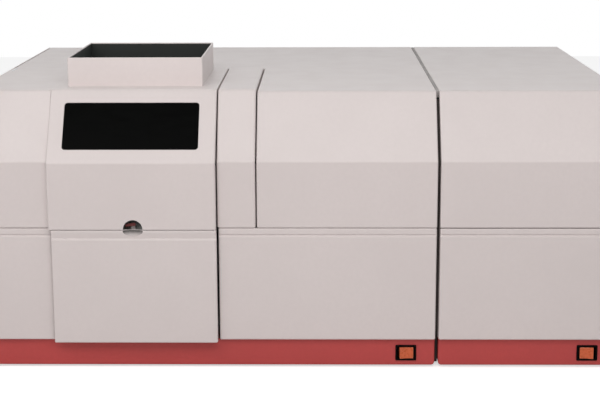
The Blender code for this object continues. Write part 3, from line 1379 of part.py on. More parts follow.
def make_electronics():
    floor = FOOT_HEIGHT + BASE_SHEET + SEAT
    low = (MAIN_FAN_X - SUPPLY_SIZE[0], BACK_Y - SUPPLY_BACK - SUPPLY_SIZE[1], floor)
    node("power_supply", "zinc_sheet", [block(low, tuple(a + b for a, b in zip(low, SUPPLY_SIZE)), edge=FOLD)])
    board_x = (LEFT_X + MAIN_RIGHT_X) / 2 - BOARD_SIZE[0]
    board_y = BACK_Y - BOARD_BACK
    feet_top = floor + BOARD_FOOT[1]
    board = block(
        (board_x, board_y, floor + BOARD_FOOT[0]),
        (board_x + BOARD_SIZE[0], board_y + BOARD_SIZE[1], floor + BOARD_FOOT[0] + BOARD_SIZE[2]),
    )
    pieces = [board]
    for share in (0.25, 0.5, 0.75):
        chip_x = board_x + BOARD_SIZE[0] * share - CHIP / 2
        chip_z = floor + BOARD_SIZE[2] / 2
        pieces.append(block(
            (chip_x, board_y - CHIP_HEIGHT, chip_z), (chip_x + CHIP, board_y + BOARD_SIZE[1] / 2, chip_z + CHIP),
        ))
    for share in (0.1, 0.9):
        foot_x = board_x + BOARD_SIZE[0] * share
        pieces.append(block(
            (foot_x - BOARD_FOOT[0] / 2, board_y + BOARD_SIZE[1] / 2, floor),
            (foot_x + BOARD_FOOT[0] / 2, board_y + BOARD_SIZE[1] + BOARD_FOOT[0], feet_top),
        ))
    node("control_board", "green_board", pieces)
    make_transformer(floor)
    pieces = []
    outer = REAR_Y + SHEET / 2 + SEAT
    for x in terminal_places():
        profile = [
            (0, TERMINAL_REACH), (TERMINAL_RADIUS, TERMINAL_REACH), (TERMINAL_RADIUS, INLET_LIP * 2),
            (TERMINAL_FLANGE, INLET_LIP * 2), (TERMINAL_FLANGE, 0), (TERMINAL_HOLE - SEAT, 0),
            (TERMINAL_HOLE - SEAT, -TERMINAL_REACH), (0, -TERMINAL_REACH),
        ]
        pieces.append(turned(profile, (x, outer, TERMINAL_Z), (0, 1, 0), sides=12))
    low_x, high_x = terminal_places()
    back = REAR_INNER_Y - SEAT
    base = block(
        (low_x - TERMINAL_PITCH / 2, back - TERMINAL_REACH, TERMINAL_Z - TERMINAL_PITCH / 2),
        (high_x + TERMINAL_PITCH / 2, back, TERMINAL_Z + TERMINAL_PITCH / 2),
    )
    node("output_terminals", "copper", [base, *pieces])


def make_transformer(floor):
    """A ring core wound round, held down by a plate and a bolt."""
    centre = (FURNACE_MIDDLE_X, BACK_Y - CORE_BACK)
    inner, outer = CORE_BORE, CORE_RADIUS
    half = CORE_HEIGHT / 2
    section = rectangle(((inner + outer) / 2, half), (outer - inner, CORE_HEIGHT), CORE_CORNER)
    core = turned(section[::-1], (*centre, floor), (0, 0, 1), hollow=True)
    clamp = rod(
        (*centre, floor + CORE_HEIGHT - SHEET), (*centre, floor + CORE_HEIGHT + CLAMP_PLATE), CLAMP_RADIUS,
    )
    bolt = rod((*centre, floor), (*centre, floor + CORE_HEIGHT + CLAMP_PLATE + BOLT_RADIUS), BOLT_RADIUS, sides=12)
    node("furnace_transformer", "copper", [core, clamp, bolt])


# Atomiser on its height stage
STAGE_RIGHT = 42 * MM  # stage's middle, left of the liner's right wall
STAGE_PLATE = (44 * MM, 128 * MM, 8 * MM)
GUIDE_RADIUS = 6 * MM
GUIDE_PITCH = 80 * MM
GUIDE_SPARE = 4 * MM  # rod left above the carriage at the top of its travel
BRIDGE_PLATE = 7 * MM
SCREW_RADIUS = 5 * MM
WHEEL_RADIUS = 21 * MM
WHEEL_DEPTH = 11 * MM
WHEEL_FLUTES = 12
FLUTE_RADIUS = 3 * MM
WHEEL_GAP = 3 * MM
CARRIAGE_SIZE = (32 * MM, 108 * MM, 38 * MM)
HEIGHT_TRAVEL = 12 * MM
SLIDE_FIT = 0.3 * MM
RAIL_SIZE = (8 * MM, 96 * MM, 20 * MM)
RAIL_WAIST = 10 * MM
CROSS_TRAVEL = 5 * MM
CROSS_PLATE = 8 * MM
CROSS_LENGTH = 62 * MM
CROSS_BRACKET = 3 * MM
KNOB_RADIUS = 12 * MM
KNOB_DEPTH = 14 * MM
CROSS_SCREW = 3 * MM
CHAMBER_RADIUS = 28 * MM
CHAMBER_FRONT = 88 * MM  # behind the front
CHAMBER_LENGTH = 150 * MM
CLAMP_WIDTH = 20 * MM
CLAMP_WALL = 5 * MM
NECK_RADIUS = 14 * MM
SPIGOT_RADIUS = 10 * MM
HEAD_LENGTH = 120 * MM
HEAD_WIDTH = 30 * MM
HEAD_HEIGHT = 40 * MM
HEAD_DROP = 10 * MM  # slot below the beam
HEAD_SLOT = 1.2 * MM
HEAD_SLOT_DEPTH = 8 * MM
CHAMBER_DROP = 64.6 * MM  # spray chamber's axis below the head's foot
NECK_GAP = 8 * MM
NECK_GROWTH = 4 * MM

STAGE_X = LINER_RIGHT_X - SHEET - STAGE_RIGHT
STAGE_Z = LINER_FLOOR_Z + SEAT + STAGE_PLATE[2]
HEAD_TOP_Z = BEAM_Z - HEAD_DROP
HEAD_Z = HEAD_TOP_Z - HEAD_HEIGHT
CHAMBER_Z = HEAD_Z - CHAMBER_DROP
CARRIAGE_Z = CHAMBER_Z - CARRIAGE_SIZE[2] / 2
GUIDE_LENGTH = CARRIAGE_Z - STAGE_Z + CARRIAGE_SIZE[2] + HEIGHT_TRAVEL + GUIDE_SPARE


def guide_places():
    return [BURNER_Y + GUIDE_PITCH / 2 * side for side in (-1, 1)]


def make_stage():
    """A plate on the liner's floor with two guide rods and a bridge over them."""
    low = (STAGE_X - STAGE_PLATE[0] / 2, BURNER_Y - STAGE_PLATE[1] / 2, STAGE_Z - STAGE_PLATE[2])
    high = (STAGE_X + STAGE_PLATE[0] / 2, BURNER_Y + STAGE_PLATE[1] / 2, STAGE_Z)
    pivot = rod(
        (STAGE_X, BURNER_Y, STAGE_Z - STAGE_PLATE[2] - OVERRUN), (STAGE_X, BURNER_Y, STAGE_Z + OVERRUN),
        SCREW_RADIUS + SEAT, sides=16,
    )
    node("stage_base", "aluminium", [block(low, high, edge=FOLD)], [pivot])
    top = STAGE_Z + GUIDE_LENGTH
    rods = []
    for y in guide_places():
        rods.append(rod((STAGE_X, y, STAGE_Z + SEAT), (STAGE_X, y, top + BRIDGE_PLATE / 2), GUIDE_RADIUS, sides=16))
    bridge = block(
        (STAGE_X - GUIDE_RADIUS * 2, BURNER_Y - STAGE_PLATE[1] / 2, top),
        (STAGE_X + GUIDE_RADIUS * 2, BURNER_Y + STAGE_PLATE[1] / 2, top + BRIDGE_PLATE), edge=FOLD,
    )
    bore = rod(
        (STAGE_X, BURNER_Y, top - OVERRUN), (STAGE_X, BURNER_Y, top + BRIDGE_PLATE + OVERRUN),
        SCREW_RADIUS + SEAT, sides=16,
    )
    node("guide_rods", "plain_steel", [bridge, *rods], [bore])
    make_height_screw(top)


def make_height_screw(top):
    """A screw between stage plate and bridge, turned by a fluted wheel at its foot."""
    low = STAGE_Z + WHEEL_GAP
    wheel = rod((STAGE_X, BURNER_Y, low), (STAGE_X, BURNER_Y, low + WHEEL_DEPTH), WHEEL_RADIUS, sides=24)
    flutes = []
    for flute in range(WHEEL_FLUTES):
        angle = math.tau * flute / WHEEL_FLUTES
        x = STAGE_X + (WHEEL_RADIUS + FLUTE_RADIUS / 2) * math.cos(angle)
        y = BURNER_Y + (WHEEL_RADIUS + FLUTE_RADIUS / 2) * math.sin(angle)
        flutes.append(rod((x, y, low - OVERRUN), (x, y, low + WHEEL_DEPTH + OVERRUN), FLUTE_RADIUS, sides=6))
    screw = rod(
        (STAGE_X, BURNER_Y, STAGE_Z - STAGE_PLATE[2] + SEAT), (STAGE_X, BURNER_Y, top + BRIDGE_PLATE),
        SCREW_RADIUS, sides=16,
    )
    item = node("height_screw", "plain_steel", [wheel, screw], flutes)
    carry("height_wheel_axis", (STAGE_X, BURNER_Y, low), [item])


def make_carriage():
    """A block on the guides, with a grooved rail on its left and the cross screw's bracket in front."""
    half_x, half_y = CARRIAGE_SIZE[0] / 2, CARRIAGE_SIZE[1] / 2
    body = block(
        (STAGE_X - half_x, BURNER_Y - half_y, CARRIAGE_Z), (STAGE_X + half_x, BURNER_Y + half_y, CARRIAGE_Z + CARRIAGE_SIZE[2]),
        edge=FOLD,
    )
    middle = CARRIAGE_Z + CARRIAGE_SIZE[2] / 2
    face = STAGE_X - half_x
    wide, thin = RAIL_SIZE[2] / 2, RAIL_WAIST / 2
    rail_line = [
        (face + SHEET, middle - thin), (face + SHEET, middle + thin), (face - RAIL_SIZE[0] / 3, middle + thin),
        (face - RAIL_SIZE[0], middle + wide), (face - RAIL_SIZE[0], middle - wide),
        (face - RAIL_SIZE[0] / 3, middle - thin),
    ]
    rail = plate([rail_line], facing("xz", BURNER_Y), RAIL_SIZE[1])
    holes = []
    low, high = CARRIAGE_Z - OVERRUN, CARRIAGE_Z + CARRIAGE_SIZE[2] + OVERRUN
    for y in guide_places():
        holes.append(rod((STAGE_X, y, low), (STAGE_X, y, high), GUIDE_RADIUS + SLIDE_FIT, sides=16))
    holes.append(rod((STAGE_X, BURNER_Y, low), (STAGE_X, BURNER_Y, high), SCREW_RADIUS + SLIDE_FIT, sides=16))
    x, z = cross_screw_place()
    front = BURNER_Y - half_y
    bracket = block(
        (x - 2 * CROSS_SCREW, front - CROSS_BRACKET, z - 3 * CROSS_SCREW),
        (face + half_x / 2, front + SHEET, z + 2 * CROSS_SCREW),
    )
    holes.append(rod((x, front - OVERRUN, z), (x, front + OVERRUN, z), CROSS_SCREW + SLIDE_FIT, sides=12))
    carriage = node("height_carriage", "aluminium", [body, rail, bracket], holes)
    return carry("height_axis", (STAGE_X, BURNER_Y, CARRIAGE_Z), [carriage])


def cross_screw_place():
    """X, Z of the cross screw, through the cross slide's upper part."""
    face = STAGE_X - CARRIAGE_SIZE[0] / 2
    return face - RAIL_SIZE[0] - CROSS_PLATE / 2, CARRIAGE_Z + CARRIAGE_SIZE[2] / 2 + RAIL_SIZE[2] / 2 + CROSS_SCREW * 2


def make_cross_knob(parent):
    x, z = cross_screw_place()
    front = BURNER_Y - CARRIAGE_SIZE[1] / 2
    profile = [
        (0, KNOB_DEPTH), (KNOB_RADIUS, KNOB_DEPTH), (KNOB_RADIUS, KNOB_DEPTH / 4),
        (KNOB_RADIUS * 0.8, 0), (0, 0),
    ]
    start = front - CROSS_BRACKET - SEAT - KNOB_DEPTH
    knob = turned(profile, (x, start, z), (0, 1, 0))
    end = BURNER_Y + CROSS_LENGTH / 2 + CROSS_TRAVEL
    screw = rod((x, start + KNOB_DEPTH / 2, z), (x, end, z), CROSS_SCREW, sides=12)
    item = node("cross_knob", "black_plastic", [knob, screw])
    return carry("cross_knob_axis", (x, start, z), [item], parent)


def make_cross_slide(parent):
    """A plate round the rail's groove, with the clamp that holds the spray chamber."""
    face = STAGE_X - CARRIAGE_SIZE[0] / 2
    middle = CARRIAGE_Z + CARRIAGE_SIZE[2] / 2
    wide, thin = RAIL_SIZE[2] / 2, RAIL_WAIST / 2
    fit = SLIDE_FIT
    inner = face - RAIL_SIZE[0] - CROSS_PLATE
    tall = wide + CROSS_SCREW * 4
    outline = [
        (inner, middle - tall), (face - fit * 2, middle - tall), (face - fit * 2, middle - thin - fit),
        (face - RAIL_SIZE[0] / 3 - fit, middle - thin - fit), (face - RAIL_SIZE[0] - fit, middle - wide - fit * 2),
        (face - RAIL_SIZE[0] - fit, middle + wide + fit * 2), (face - RAIL_SIZE[0] / 3 - fit, middle + thin + fit),
        (face - fit * 2, middle + thin + fit), (face - fit * 2, middle + tall), (inner, middle + tall),
    ]
    body = plate([outline], facing("xz", BURNER_Y), CROSS_LENGTH)
    x, z = cross_screw_place()
    screw_bore = rod(
        (x, BURNER_Y - CROSS_LENGTH, z), (x, BURNER_Y + CROSS_LENGTH, z), CROSS_SCREW + SLIDE_FIT, sides=12,
    )
    ring_outer = CHAMBER_RADIUS + SEAT + CLAMP_WALL
    ring = plate([circle((BURNER_X, CHAMBER_Z), ring_outer, sides=20)], facing("xz", BURNER_Y), CLAMP_WIDTH)
    arm = block(
        (BURNER_X, BURNER_Y - CLAMP_WIDTH / 2, CHAMBER_Z - CLAMP_WIDTH / 2),
        (inner + SHEET, BURNER_Y + CLAMP_WIDTH / 2, CHAMBER_Z + CLAMP_WIDTH / 2),
    )
    chamber_bore = rod(
        (BURNER_X, BURNER_Y - CLAMP_WIDTH, CHAMBER_Z), (BURNER_X, BURNER_Y + CLAMP_WIDTH, CHAMBER_Z),
        CHAMBER_RADIUS + SEAT, sides=20,
    )
    neck_slot = rod(
        (BURNER_X, BURNER_Y, CHAMBER_Z), (BURNER_X, BURNER_Y, CHAMBER_Z + ring_outer * 2), NECK_RADIUS + SEAT,
    )
    slide = node("cross_slide", "aluminium", [body, ring, arm], [screw_bore, chamber_bore, neck_slot])
    items = [slide, *make_chamber()]
    empty = carry("cross_axis", (STAGE_X, BURNER_Y, CHAMBER_Z), items, parent)
    make_burner_head(empty)
    make_nebulizer_nut(empty)


CAP_DEPTH = 9 * MM
CAP_RADIUS = 33 * MM
DRAIN_RADIUS = 5 * MM
DRAIN_BACK = 12 * MM
DRAIN_SHARE = 0.565  # how much of the room below the spout the loop takes
DRAIN_DROP = (CHAMBER_Z - CHAMBER_RADIUS - CAP_DEPTH - LINER_FLOOR_Z) * DRAIN_SHARE
DRAIN_BEND = 16 * MM
NEBULIZER_RADIUS = 9 * MM
NEBULIZER_LENGTH = 34 * MM
NEBULIZER_STEP = 6 * MM
NUT_KNURL = 8 * MM
CAPILLARY_RADIUS = 1.2 * MM


def make_chamber():
    """Spray chamber with its neck and drain, and the nebulizer in its front cap."""
    front = FRONT_Y + CHAMBER_FRONT
    back = front + CHAMBER_LENGTH
    profile = [
        (0, CHAMBER_LENGTH), (CHAMBER_RADIUS * 0.72, CHAMBER_LENGTH), (CHAMBER_RADIUS, CHAMBER_LENGTH - CAP_DEPTH),
        (CHAMBER_RADIUS, CAP_DEPTH), (CAP_RADIUS, CAP_DEPTH), (CAP_RADIUS, 0), (0, 0),
    ]
    body = turned(profile, (BURNER_X, front, CHAMBER_Z), (0, 1, 0), sides=20)
    neck_top = HEAD_Z - NECK_GAP
    neck = rod((BURNER_X, BURNER_Y, CHAMBER_Z), (BURNER_X, BURNER_Y, neck_top), NECK_RADIUS)
    spout = rod(
        (BURNER_X, back - DRAIN_BACK, CHAMBER_Z), (BURNER_X, back - DRAIN_BACK, CHAMBER_Z - CHAMBER_RADIUS - CAP_DEPTH),
        DRAIN_RADIUS + TUBE_WALL, sides=16,
    )
    socket = rod(
        (BURNER_X, BURNER_Y, CHAMBER_Z), (BURNER_X, BURNER_Y, neck_top + OVERRUN), SPIGOT_RADIUS + SEAT,
    )
    nebulizer_bore = rod(
        (BURNER_X, front - OVERRUN, CHAMBER_Z), (BURNER_X, front + CAP_DEPTH, CHAMBER_Z), NEBULIZER_RADIUS + SEAT,
        sides=12,
    )
    chamber = node("spray_chamber", "white_plastic", [body, neck, spout], [socket, nebulizer_bore])
    tip = front - NEBULIZER_LENGTH
    step_profile = [
        (0, NEBULIZER_LENGTH + CAP_DEPTH / 2), (NEBULIZER_RADIUS, NEBULIZER_LENGTH + CAP_DEPTH / 2),
        (NEBULIZER_RADIUS, NEBULIZER_LENGTH - SEAT), (NEBULIZER_RADIUS * 1.3, NEBULIZER_LENGTH - SEAT),
        (NEBULIZER_RADIUS * 1.3, NEBULIZER_LENGTH * 0.7), (NEBULIZER_RADIUS * 0.8, NEBULIZER_LENGTH * 0.7),
        (NEBULIZER_RADIUS * 0.8, NEBULIZER_LENGTH * 0.45), (NEBULIZER_STEP / 2, NEBULIZER_LENGTH * 0.45),
        (NEBULIZER_STEP / 2, 0), (0, 0),
    ]
    barrel = turned(step_profile, (BURNER_X, tip, CHAMBER_Z), (0, 1, 0), sides=12)
    gas_arm = rod(
        (BURNER_X, tip + NEBULIZER_LENGTH * 0.85, CHAMBER_Z),
        (BURNER_X - CHAMBER_RADIUS, tip + NEBULIZER_LENGTH * 0.85, CHAMBER_Z), NEBULIZER_STEP / 2, sides=12,
    )
    nebulizer = node("nebulizer", "titanium", [barrel, gas_arm])
    start_z = CHAMBER_Z - CHAMBER_RADIUS - CAP_DEPTH - SEAT
    y = back - DRAIN_BACK
    bend = [math.pi * step / 8 for step in range(9)]
    loop = [(BURNER_X, y, start_z), (BURNER_X, y, start_z - DRAIN_DROP + DRAIN_BEND)]
    centre_y, centre_z = y - DRAIN_BEND, start_z - DRAIN_DROP + DRAIN_BEND
    loop += [
        (BURNER_X, centre_y + DRAIN_BEND * math.cos(a), centre_z - DRAIN_BEND * math.sin(a)) for a in bend[1:]
    ]
    drain = node("drain_loop", "white_plastic", [tube(loop, DRAIN_RADIUS)])
    return [chamber, nebulizer, drain]


def make_burner_head(parent):
    """Slot burner: a tapered head with its slot along the beam, on a spigot in the chamber's neck."""
    half_width, half_length = HEAD_WIDTH / 2, HEAD_LENGTH / 2
    outline = [
        (BURNER_Y - half_width * 0.7, HEAD_Z), (BURNER_Y + half_width * 0.7, HEAD_Z),
        (BURNER_Y + half_width, HEAD_Z + HEAD_HEIGHT * 0.3), (BURNER_Y + half_width, HEAD_Z + HEAD_HEIGHT * 0.7),
        (BURNER_Y + half_width * 0.5, HEAD_TOP_Z), (BURNER_Y - half_width * 0.5, HEAD_TOP_Z),
        (BURNER_Y - half_width, HEAD_Z + HEAD_HEIGHT * 0.7), (BURNER_Y - half_width, HEAD_Z + HEAD_HEIGHT * 0.3),
    ]
    body = plate([outline], facing("yz", BURNER_X), HEAD_LENGTH)
    spigot = rod(
        (BURNER_X, BURNER_Y, HEAD_Z - NECK_GAP * 3), (BURNER_X, BURNER_Y, HEAD_Z + NECK_GAP), SPIGOT_RADIUS,
    )
    collar = rod(
        (BURNER_X, BURNER_Y, HEAD_Z - NECK_GAP + SEAT), (BURNER_X, BURNER_Y, HEAD_Z + SHEET),
        NECK_RADIUS + NECK_GROWTH,
    )
    slot = block(
        (BURNER_X - half_length * 0.84, BURNER_Y - HEAD_SLOT / 2, HEAD_TOP_Z - HEAD_SLOT_DEPTH),
        (BURNER_X + half_length * 0.84, BURNER_Y + HEAD_SLOT / 2, HEAD_TOP_Z + OVERRUN),
    )
    item = node("burner_head", "titanium", [body, spigot, collar], [slot])
    carry("head_axis", (BURNER_X, BURNER_Y, HEAD_Z), [item], parent)


def make_nebulizer_nut(parent):
    """A knurled nut on the nebulizer's stem, with the capillary's end through it."""
    tip = FRONT_Y + CHAMBER_FRONT - NEBULIZER_LENGTH
    length = NEBULIZER_LENGTH * 0.45 - SEAT
    profile = [
        (NUT_KNURL, length), (NUT_KNURL, length * 0.3), (NUT_KNURL * 0.6, 0), (NEBULIZER_STEP / 2 + SEAT, 0),
        (NEBULIZER_STEP / 2 + SEAT, length),
    ]
    nut = turned(profile, (BURNER_X, tip, CHAMBER_Z), (0, 1, 0), sides=12, hollow=True)
    item = node("nebulizer_nut", "brass", [nut])
    carry("nut_axis", (BURNER_X, tip, CHAMBER_Z), [item], parent)


IGNITER_REACH = 96 * MM
IGNITER_RADIUS = 4 * MM
IGNITER_RISE = 26 * MM
IGNITER_PLATE = (30 * MM, 3 * MM)


def make_igniter():
    """A glow plug's tube from the rear wall, bent down towards the burner."""
    wall = LINER_BACK_Y - SHEET - 2 * SEAT
    z = BEAM_Z + IGNITER_RISE
    path = [(BURNER_X, wall, z), (BURNER_X, BURNER_Y + IGNITER_REACH, z)]
    path += [(BURNER_X, BURNER_Y + IGNITER_REACH / 2, z - IGNITER_RISE / 3)]
    stem = tube(path, IGNITER_RADIUS)
    base = block(
        (BURNER_X - IGNITER_PLATE[0] / 2, wall - IGNITER_PLATE[1], z - IGNITER_PLATE[0] / 2),
        (BURNER_X + IGNITER_PLATE[0] / 2, wall, z + IGNITER_PLATE[0] / 2),
    )
    node("igniter", "plain_steel", [base, stem])


def make_atomiser():
    make_stage()
    height_axis = make_carriage()
    make_cross_knob(height_axis)
    make_cross_slide(height_axis)
    make_igniter()


def main():
    for item in list(bpy.data.objects):
        bpy.data.objects.remove(item)
    bpy.context.scene.collection.children.link(PARTS)
    bpy.context.scene.collection.children.link(CUTTERS)
    make_finishes()
    make_switches()
    make_sides()
    make_lower_panels()
    make_fixed_covers()
    make_rear_panels()
    make_fans()
    make_rear_fittings()
    make_hood()
    make_lid()
    make_door()
    make_liner()
    make_turret()
    make_mirror()
    make_optics()
    make_electronics()
    make_atomiser()


main()
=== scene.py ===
"""Looks of an atomic absorption spectrometer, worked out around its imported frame.

Metres, +Z up, X to the right and Y to the back, as in the frame. Lines of sheet metal are written as (Y, Z).
"""
import math

import bmesh
import bpy
import numpy as np
from bpy.props import FloatProperty, FloatVectorProperty, IntProperty, PointerProperty
from mathutils import Matrix, Vector
from mathutils.geometry import delaunay_2d_cdt


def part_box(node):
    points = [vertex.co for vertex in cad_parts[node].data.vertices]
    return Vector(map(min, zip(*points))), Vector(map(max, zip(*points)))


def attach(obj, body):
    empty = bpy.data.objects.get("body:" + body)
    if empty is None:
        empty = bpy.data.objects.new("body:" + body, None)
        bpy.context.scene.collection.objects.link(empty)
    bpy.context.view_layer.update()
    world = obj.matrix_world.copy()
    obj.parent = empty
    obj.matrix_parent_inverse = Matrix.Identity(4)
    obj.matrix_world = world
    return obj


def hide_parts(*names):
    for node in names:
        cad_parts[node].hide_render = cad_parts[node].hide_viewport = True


bl_info = {
    "name": "Absorption Spectrometer Looks",
    "version": (1, 0, 0),
    "blender": (4, 5, 0),
    "location": "3D View > Sidebar > Spectrometer",
    "description": "Sheet metal, switches, burner parts and finishes of a bench-top absorption spectrometer",
    "category": "Add Mesh",
}

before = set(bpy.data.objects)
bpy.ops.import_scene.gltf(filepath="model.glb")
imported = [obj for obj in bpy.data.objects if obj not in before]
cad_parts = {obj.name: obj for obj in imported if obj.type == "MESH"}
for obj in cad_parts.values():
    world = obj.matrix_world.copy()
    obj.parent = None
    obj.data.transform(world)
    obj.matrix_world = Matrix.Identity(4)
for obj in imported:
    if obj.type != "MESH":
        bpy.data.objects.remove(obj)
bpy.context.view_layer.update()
MM = 0.001
LEAST = 0.05 * MM
MARGIN = 1.2 * MM


def mm(*lengths):
    """Lengths or points given in millimetres, in metres."""
    return np.array(lengths) * MM


def corners(node):
    """Lowest and highest corner of a frame node, as arrays."""
    low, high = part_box(node)
    return np.array(low), np.array(high)


def centre_of(node):
    """Middle of a frame node's box across and up."""
    low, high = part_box(node)
    return (low[0] + high[0]) / 2, (low[2] + high[2]) / 2


HOOD_LOW, HOOD_HIGH = corners("flame_hood")
LID_LOW = corners("lamp_lid")[0]
DOOR_LOW, DOOR_HIGH = corners("burner_door")
NARROW_LOW, NARROW_HIGH = corners("narrow_cover")
COVER_HIGH = corners("main_cover")[1]
FRONT_Y = NARROW_LOW[1]
PROUD_Y = HOOD_LOW[1]
BACK_Y = COVER_HIGH[1]
LID_BACK_Y = NARROW_HIGH[1]
WAIST_Z = 224 * MM
BEVEL_Z = 326.6 * MM
SLOPE_RUN = 58.8 * MM
TOP_Z = COVER_HIGH[2]
LID_TOP_Z = NARROW_HIGH[2]
BASE_TOP = corners("base_tray")[1][2]
COVER_X = NARROW_HIGH[0] + 1.8 * MM
SHEET = 1.5 * MM
MAIN_EDGE = corners("right_side_panel")[0][0] + SHEET
FURNACE_EDGE = corners("furnace_left_panel")[0][0]
RIGHT_EDGE = corners("furnace_right_panel")[1][0]
REAR_FACE = corners("rear_panel")[1][1]


# Sizes and colours that a user would change
def length_setting(name, description, default):
    """A length with its default in millimetres."""
    return FloatProperty(name=name, description=description, default=default * MM, unit="LENGTH")


def colour_setting(name, description, default):
    """A linear colour."""
    return FloatVectorProperty(
        name=name, description=description, subtype="COLOR", default=default, min=0, max=1,
    )


class SheetSettings(bpy.types.PropertyGroup):
    thickness: length_setting("Sheet", "Thickness of the sheet metal", 1.5)
    edge: length_setting("Edge", "Radius of a cut edge", 0.35)
    bevel_bend: length_setting("Lower bend", "Radius below the slope", 6)
    top_bend: length_setting("Upper bend", "Radius above the slope", 7)
    bend_rows: IntProperty(name="Bend rows", description="Rows of faces in a bend", default=10, min=2)


class FinishSettings(bpy.types.PropertyGroup):
    enamel: colour_setting("Enamel", "Cabinet enamel", (0.672, 0.618, 0.606))
    base: colour_setting("Base", "Enamel of the base trays", (0.455, 0.054, 0.051))
    pane: colour_setting("Pane", "Smoked window", (0.0022, 0.0024, 0.0023))
    lens: colour_setting("Lens", "Rockers", (0.5, 0.095, 0.028))
    lining: colour_setting("Lining", "Inside of the collar", (0.027, 0.031, 0.029))


# Lines and grids
def bend_pieces(points, radii, depth=0.0):
    """A bent sheet's line as its straights and arcs, moved to the right of its travel by depth.

    A corner moves along its mitre (n0 + n1) / (1 + n0 . n1), and a bend keeps its centre, so its radius r
    becomes r + depth in a left turn and r - depth in a right turn. An arc starts r tan(turn / 2) off
    its corner.
    """
    corner = np.array(points, float)
    step = np.diff(corner, axis=0)
    along = step / np.linalg.norm(step, axis=1, keepdims=True)
    right = np.stack([along[:, 1], -along[:, 0]], 1)
    share = 1 + (right[:-1] * right[1:]).sum(1, keepdims=True)
    corner = corner + np.vstack([right[:1], (right[:-1] + right[1:]) / share, right[-1:]]) * depth
    cross = along[:-1, 0] * along[1:, 1] - along[:-1, 1] * along[1:, 0]
    turn = np.arctan2(cross, (along[:-1] * along[1:]).sum(1))
    radius = np.maximum(np.array(radii, float) + depth * np.sign(turn), LEAST)
    reach = (radius * np.tan(np.abs(turn) / 2))[:, None]
    starts = np.vstack([corner[:1], corner[1:-1] + along[1:] * reach])
    ends = np.vstack([corner[1:-1] - along[:-1] * reach, corner[-1:]])
    left = np.stack([-along[:-1, 1], along[:-1, 0]], 1)
    centres = ends[:-1] + left * (radius * np.sign(turn))[:, None]
    return starts, ends, centres, turn


def on_line(pieces, q):
    """Points of the line at q: its whole part counts straight, arc, straight and so on, its fraction is the
    place along that piece. On an arc the spoke from the centre turns by the fraction of the whole turn."""
    starts, ends, centres, turn = pieces
    q = np.asarray(q, float)
    index = np.clip(q.astype(int), 0, 2 * len(starts) - 2)
    share = (q - index)[:, None]
    k = index // 2
    straight = starts[k] + (ends[k] - starts[k]) * share
    if not len(turn):
        return straight
    j = np.minimum(k, len(turn) - 1)
    angle = turn[j][:, None] * share
    spoke = ends[j] - centres[j]
    across = np.stack([-spoke[:, 1], spoke[:, 0]], 1)
    arc = centres[j] + spoke * np.cos(angle) + across * np.sin(angle)
    return np.where((index % 2 == 1)[:, None], arc, straight)


def line_stops(points, radii, marks=None, steps=8, margin=MARGIN):
    """Values of q for a grid's rows: even steps round each bend, one row a margin off it, and rows at the
    marks, which are distances along a straight from its unrounded corner."""
    starts, ends, _, turn = bend_pieces(points, radii)
    lengths = np.linalg.norm(ends - starts, axis=1)
    lead = np.linalg.norm(starts - np.array(points, float)[:-1], axis=1)
    rows = []
    for k, length in enumerate(lengths):
        places = [0, length]
        places += [margin] if k > 0 else []
        places += [length - margin] if k < len(turn) else []
        places += [mark - lead[k] for mark in (marks or {}).get(k, ())]
        places = np.array([place for place in places if -1e-9 <= place <= length + 1e-9])
        rows.append(2 * k + np.clip(places / length, 0, 1))
        if k < len(turn):
            rows.append(2 * k + 1 + np.arange(steps + 1) / steps)
    return np.unique(np.round(np.concatenate(rows), 9))


def along_straight(points, radii, straight, distance):
    """q of a place on a straight, at a distance from its unrounded corner."""
    starts, ends, _, _ = bend_pieces(points, radii)
    lead = np.linalg.norm(starts[straight] - np.array(points[straight], float))
    return 2 * straight + (np.asarray(distance) - lead) / np.linalg.norm(ends[straight] - starts[straight])


def arc_stops(radius, steps=5):
    """Grid lines through a quarter circle's points, from its side: r (1 - cos a)."""
    return radius * (1 - np.cos(np.linspace(0, math.pi / 2, steps + 1)))


def quarter_depths(radius):
    """Depths of a quarter circle's six points, from its side: r (1 - sin a)."""
    return radius * (1 - np.sin(np.linspace(0, math.pi / 2, 6)))


def window_stops(low, high, radius, steps=5):
    """Grid lines of a rounded opening across one direction."""
    near = arc_stops(radius, steps)
    return np.concatenate([low + near, high - near])


def rounded_box(low_u, high_u, low_v, high_v, radius, steps=5):
    """A rectangle's outline with quarter circles at its corners, anticlockwise."""
    a = np.linspace(0, math.pi / 2, steps + 1)
    spots = [(high_u, low_v, -1, 1, -math.pi / 2), (high_u, high_v, -1, -1, 0),
             (low_u, high_v, 1, -1, math.pi / 2), (low_u, low_v, 1, 1, math.pi)]
    return np.vstack([
        np.stack([u + radius * (s + np.cos(a + start)), v + radius * (t + np.sin(a + start))], 1)
        for u, v, s, t, start in spots
    ])


def inside(outline, u, v):
    """Even-odd rule: a point is inside where a ray to its right crosses the outline an odd number of
    times."""
    start = np.asarray(outline, float)
    end = np.roll(start, -1, 0)
    u, v = u[..., None], v[..., None]
    spans = (start[:, 1] > v) != (end[:, 1] > v)
    rise = end[:, 1] - start[:, 1]
    rise = np.where(np.abs(rise) < 1e-12, 1e-12, rise)
    crossing = start[:, 0] + (v - start[:, 1]) * (end[:, 0] - start[:, 0]) / rise
    return ((spans & (u < crossing)).sum(-1) % 2).astype(bool)


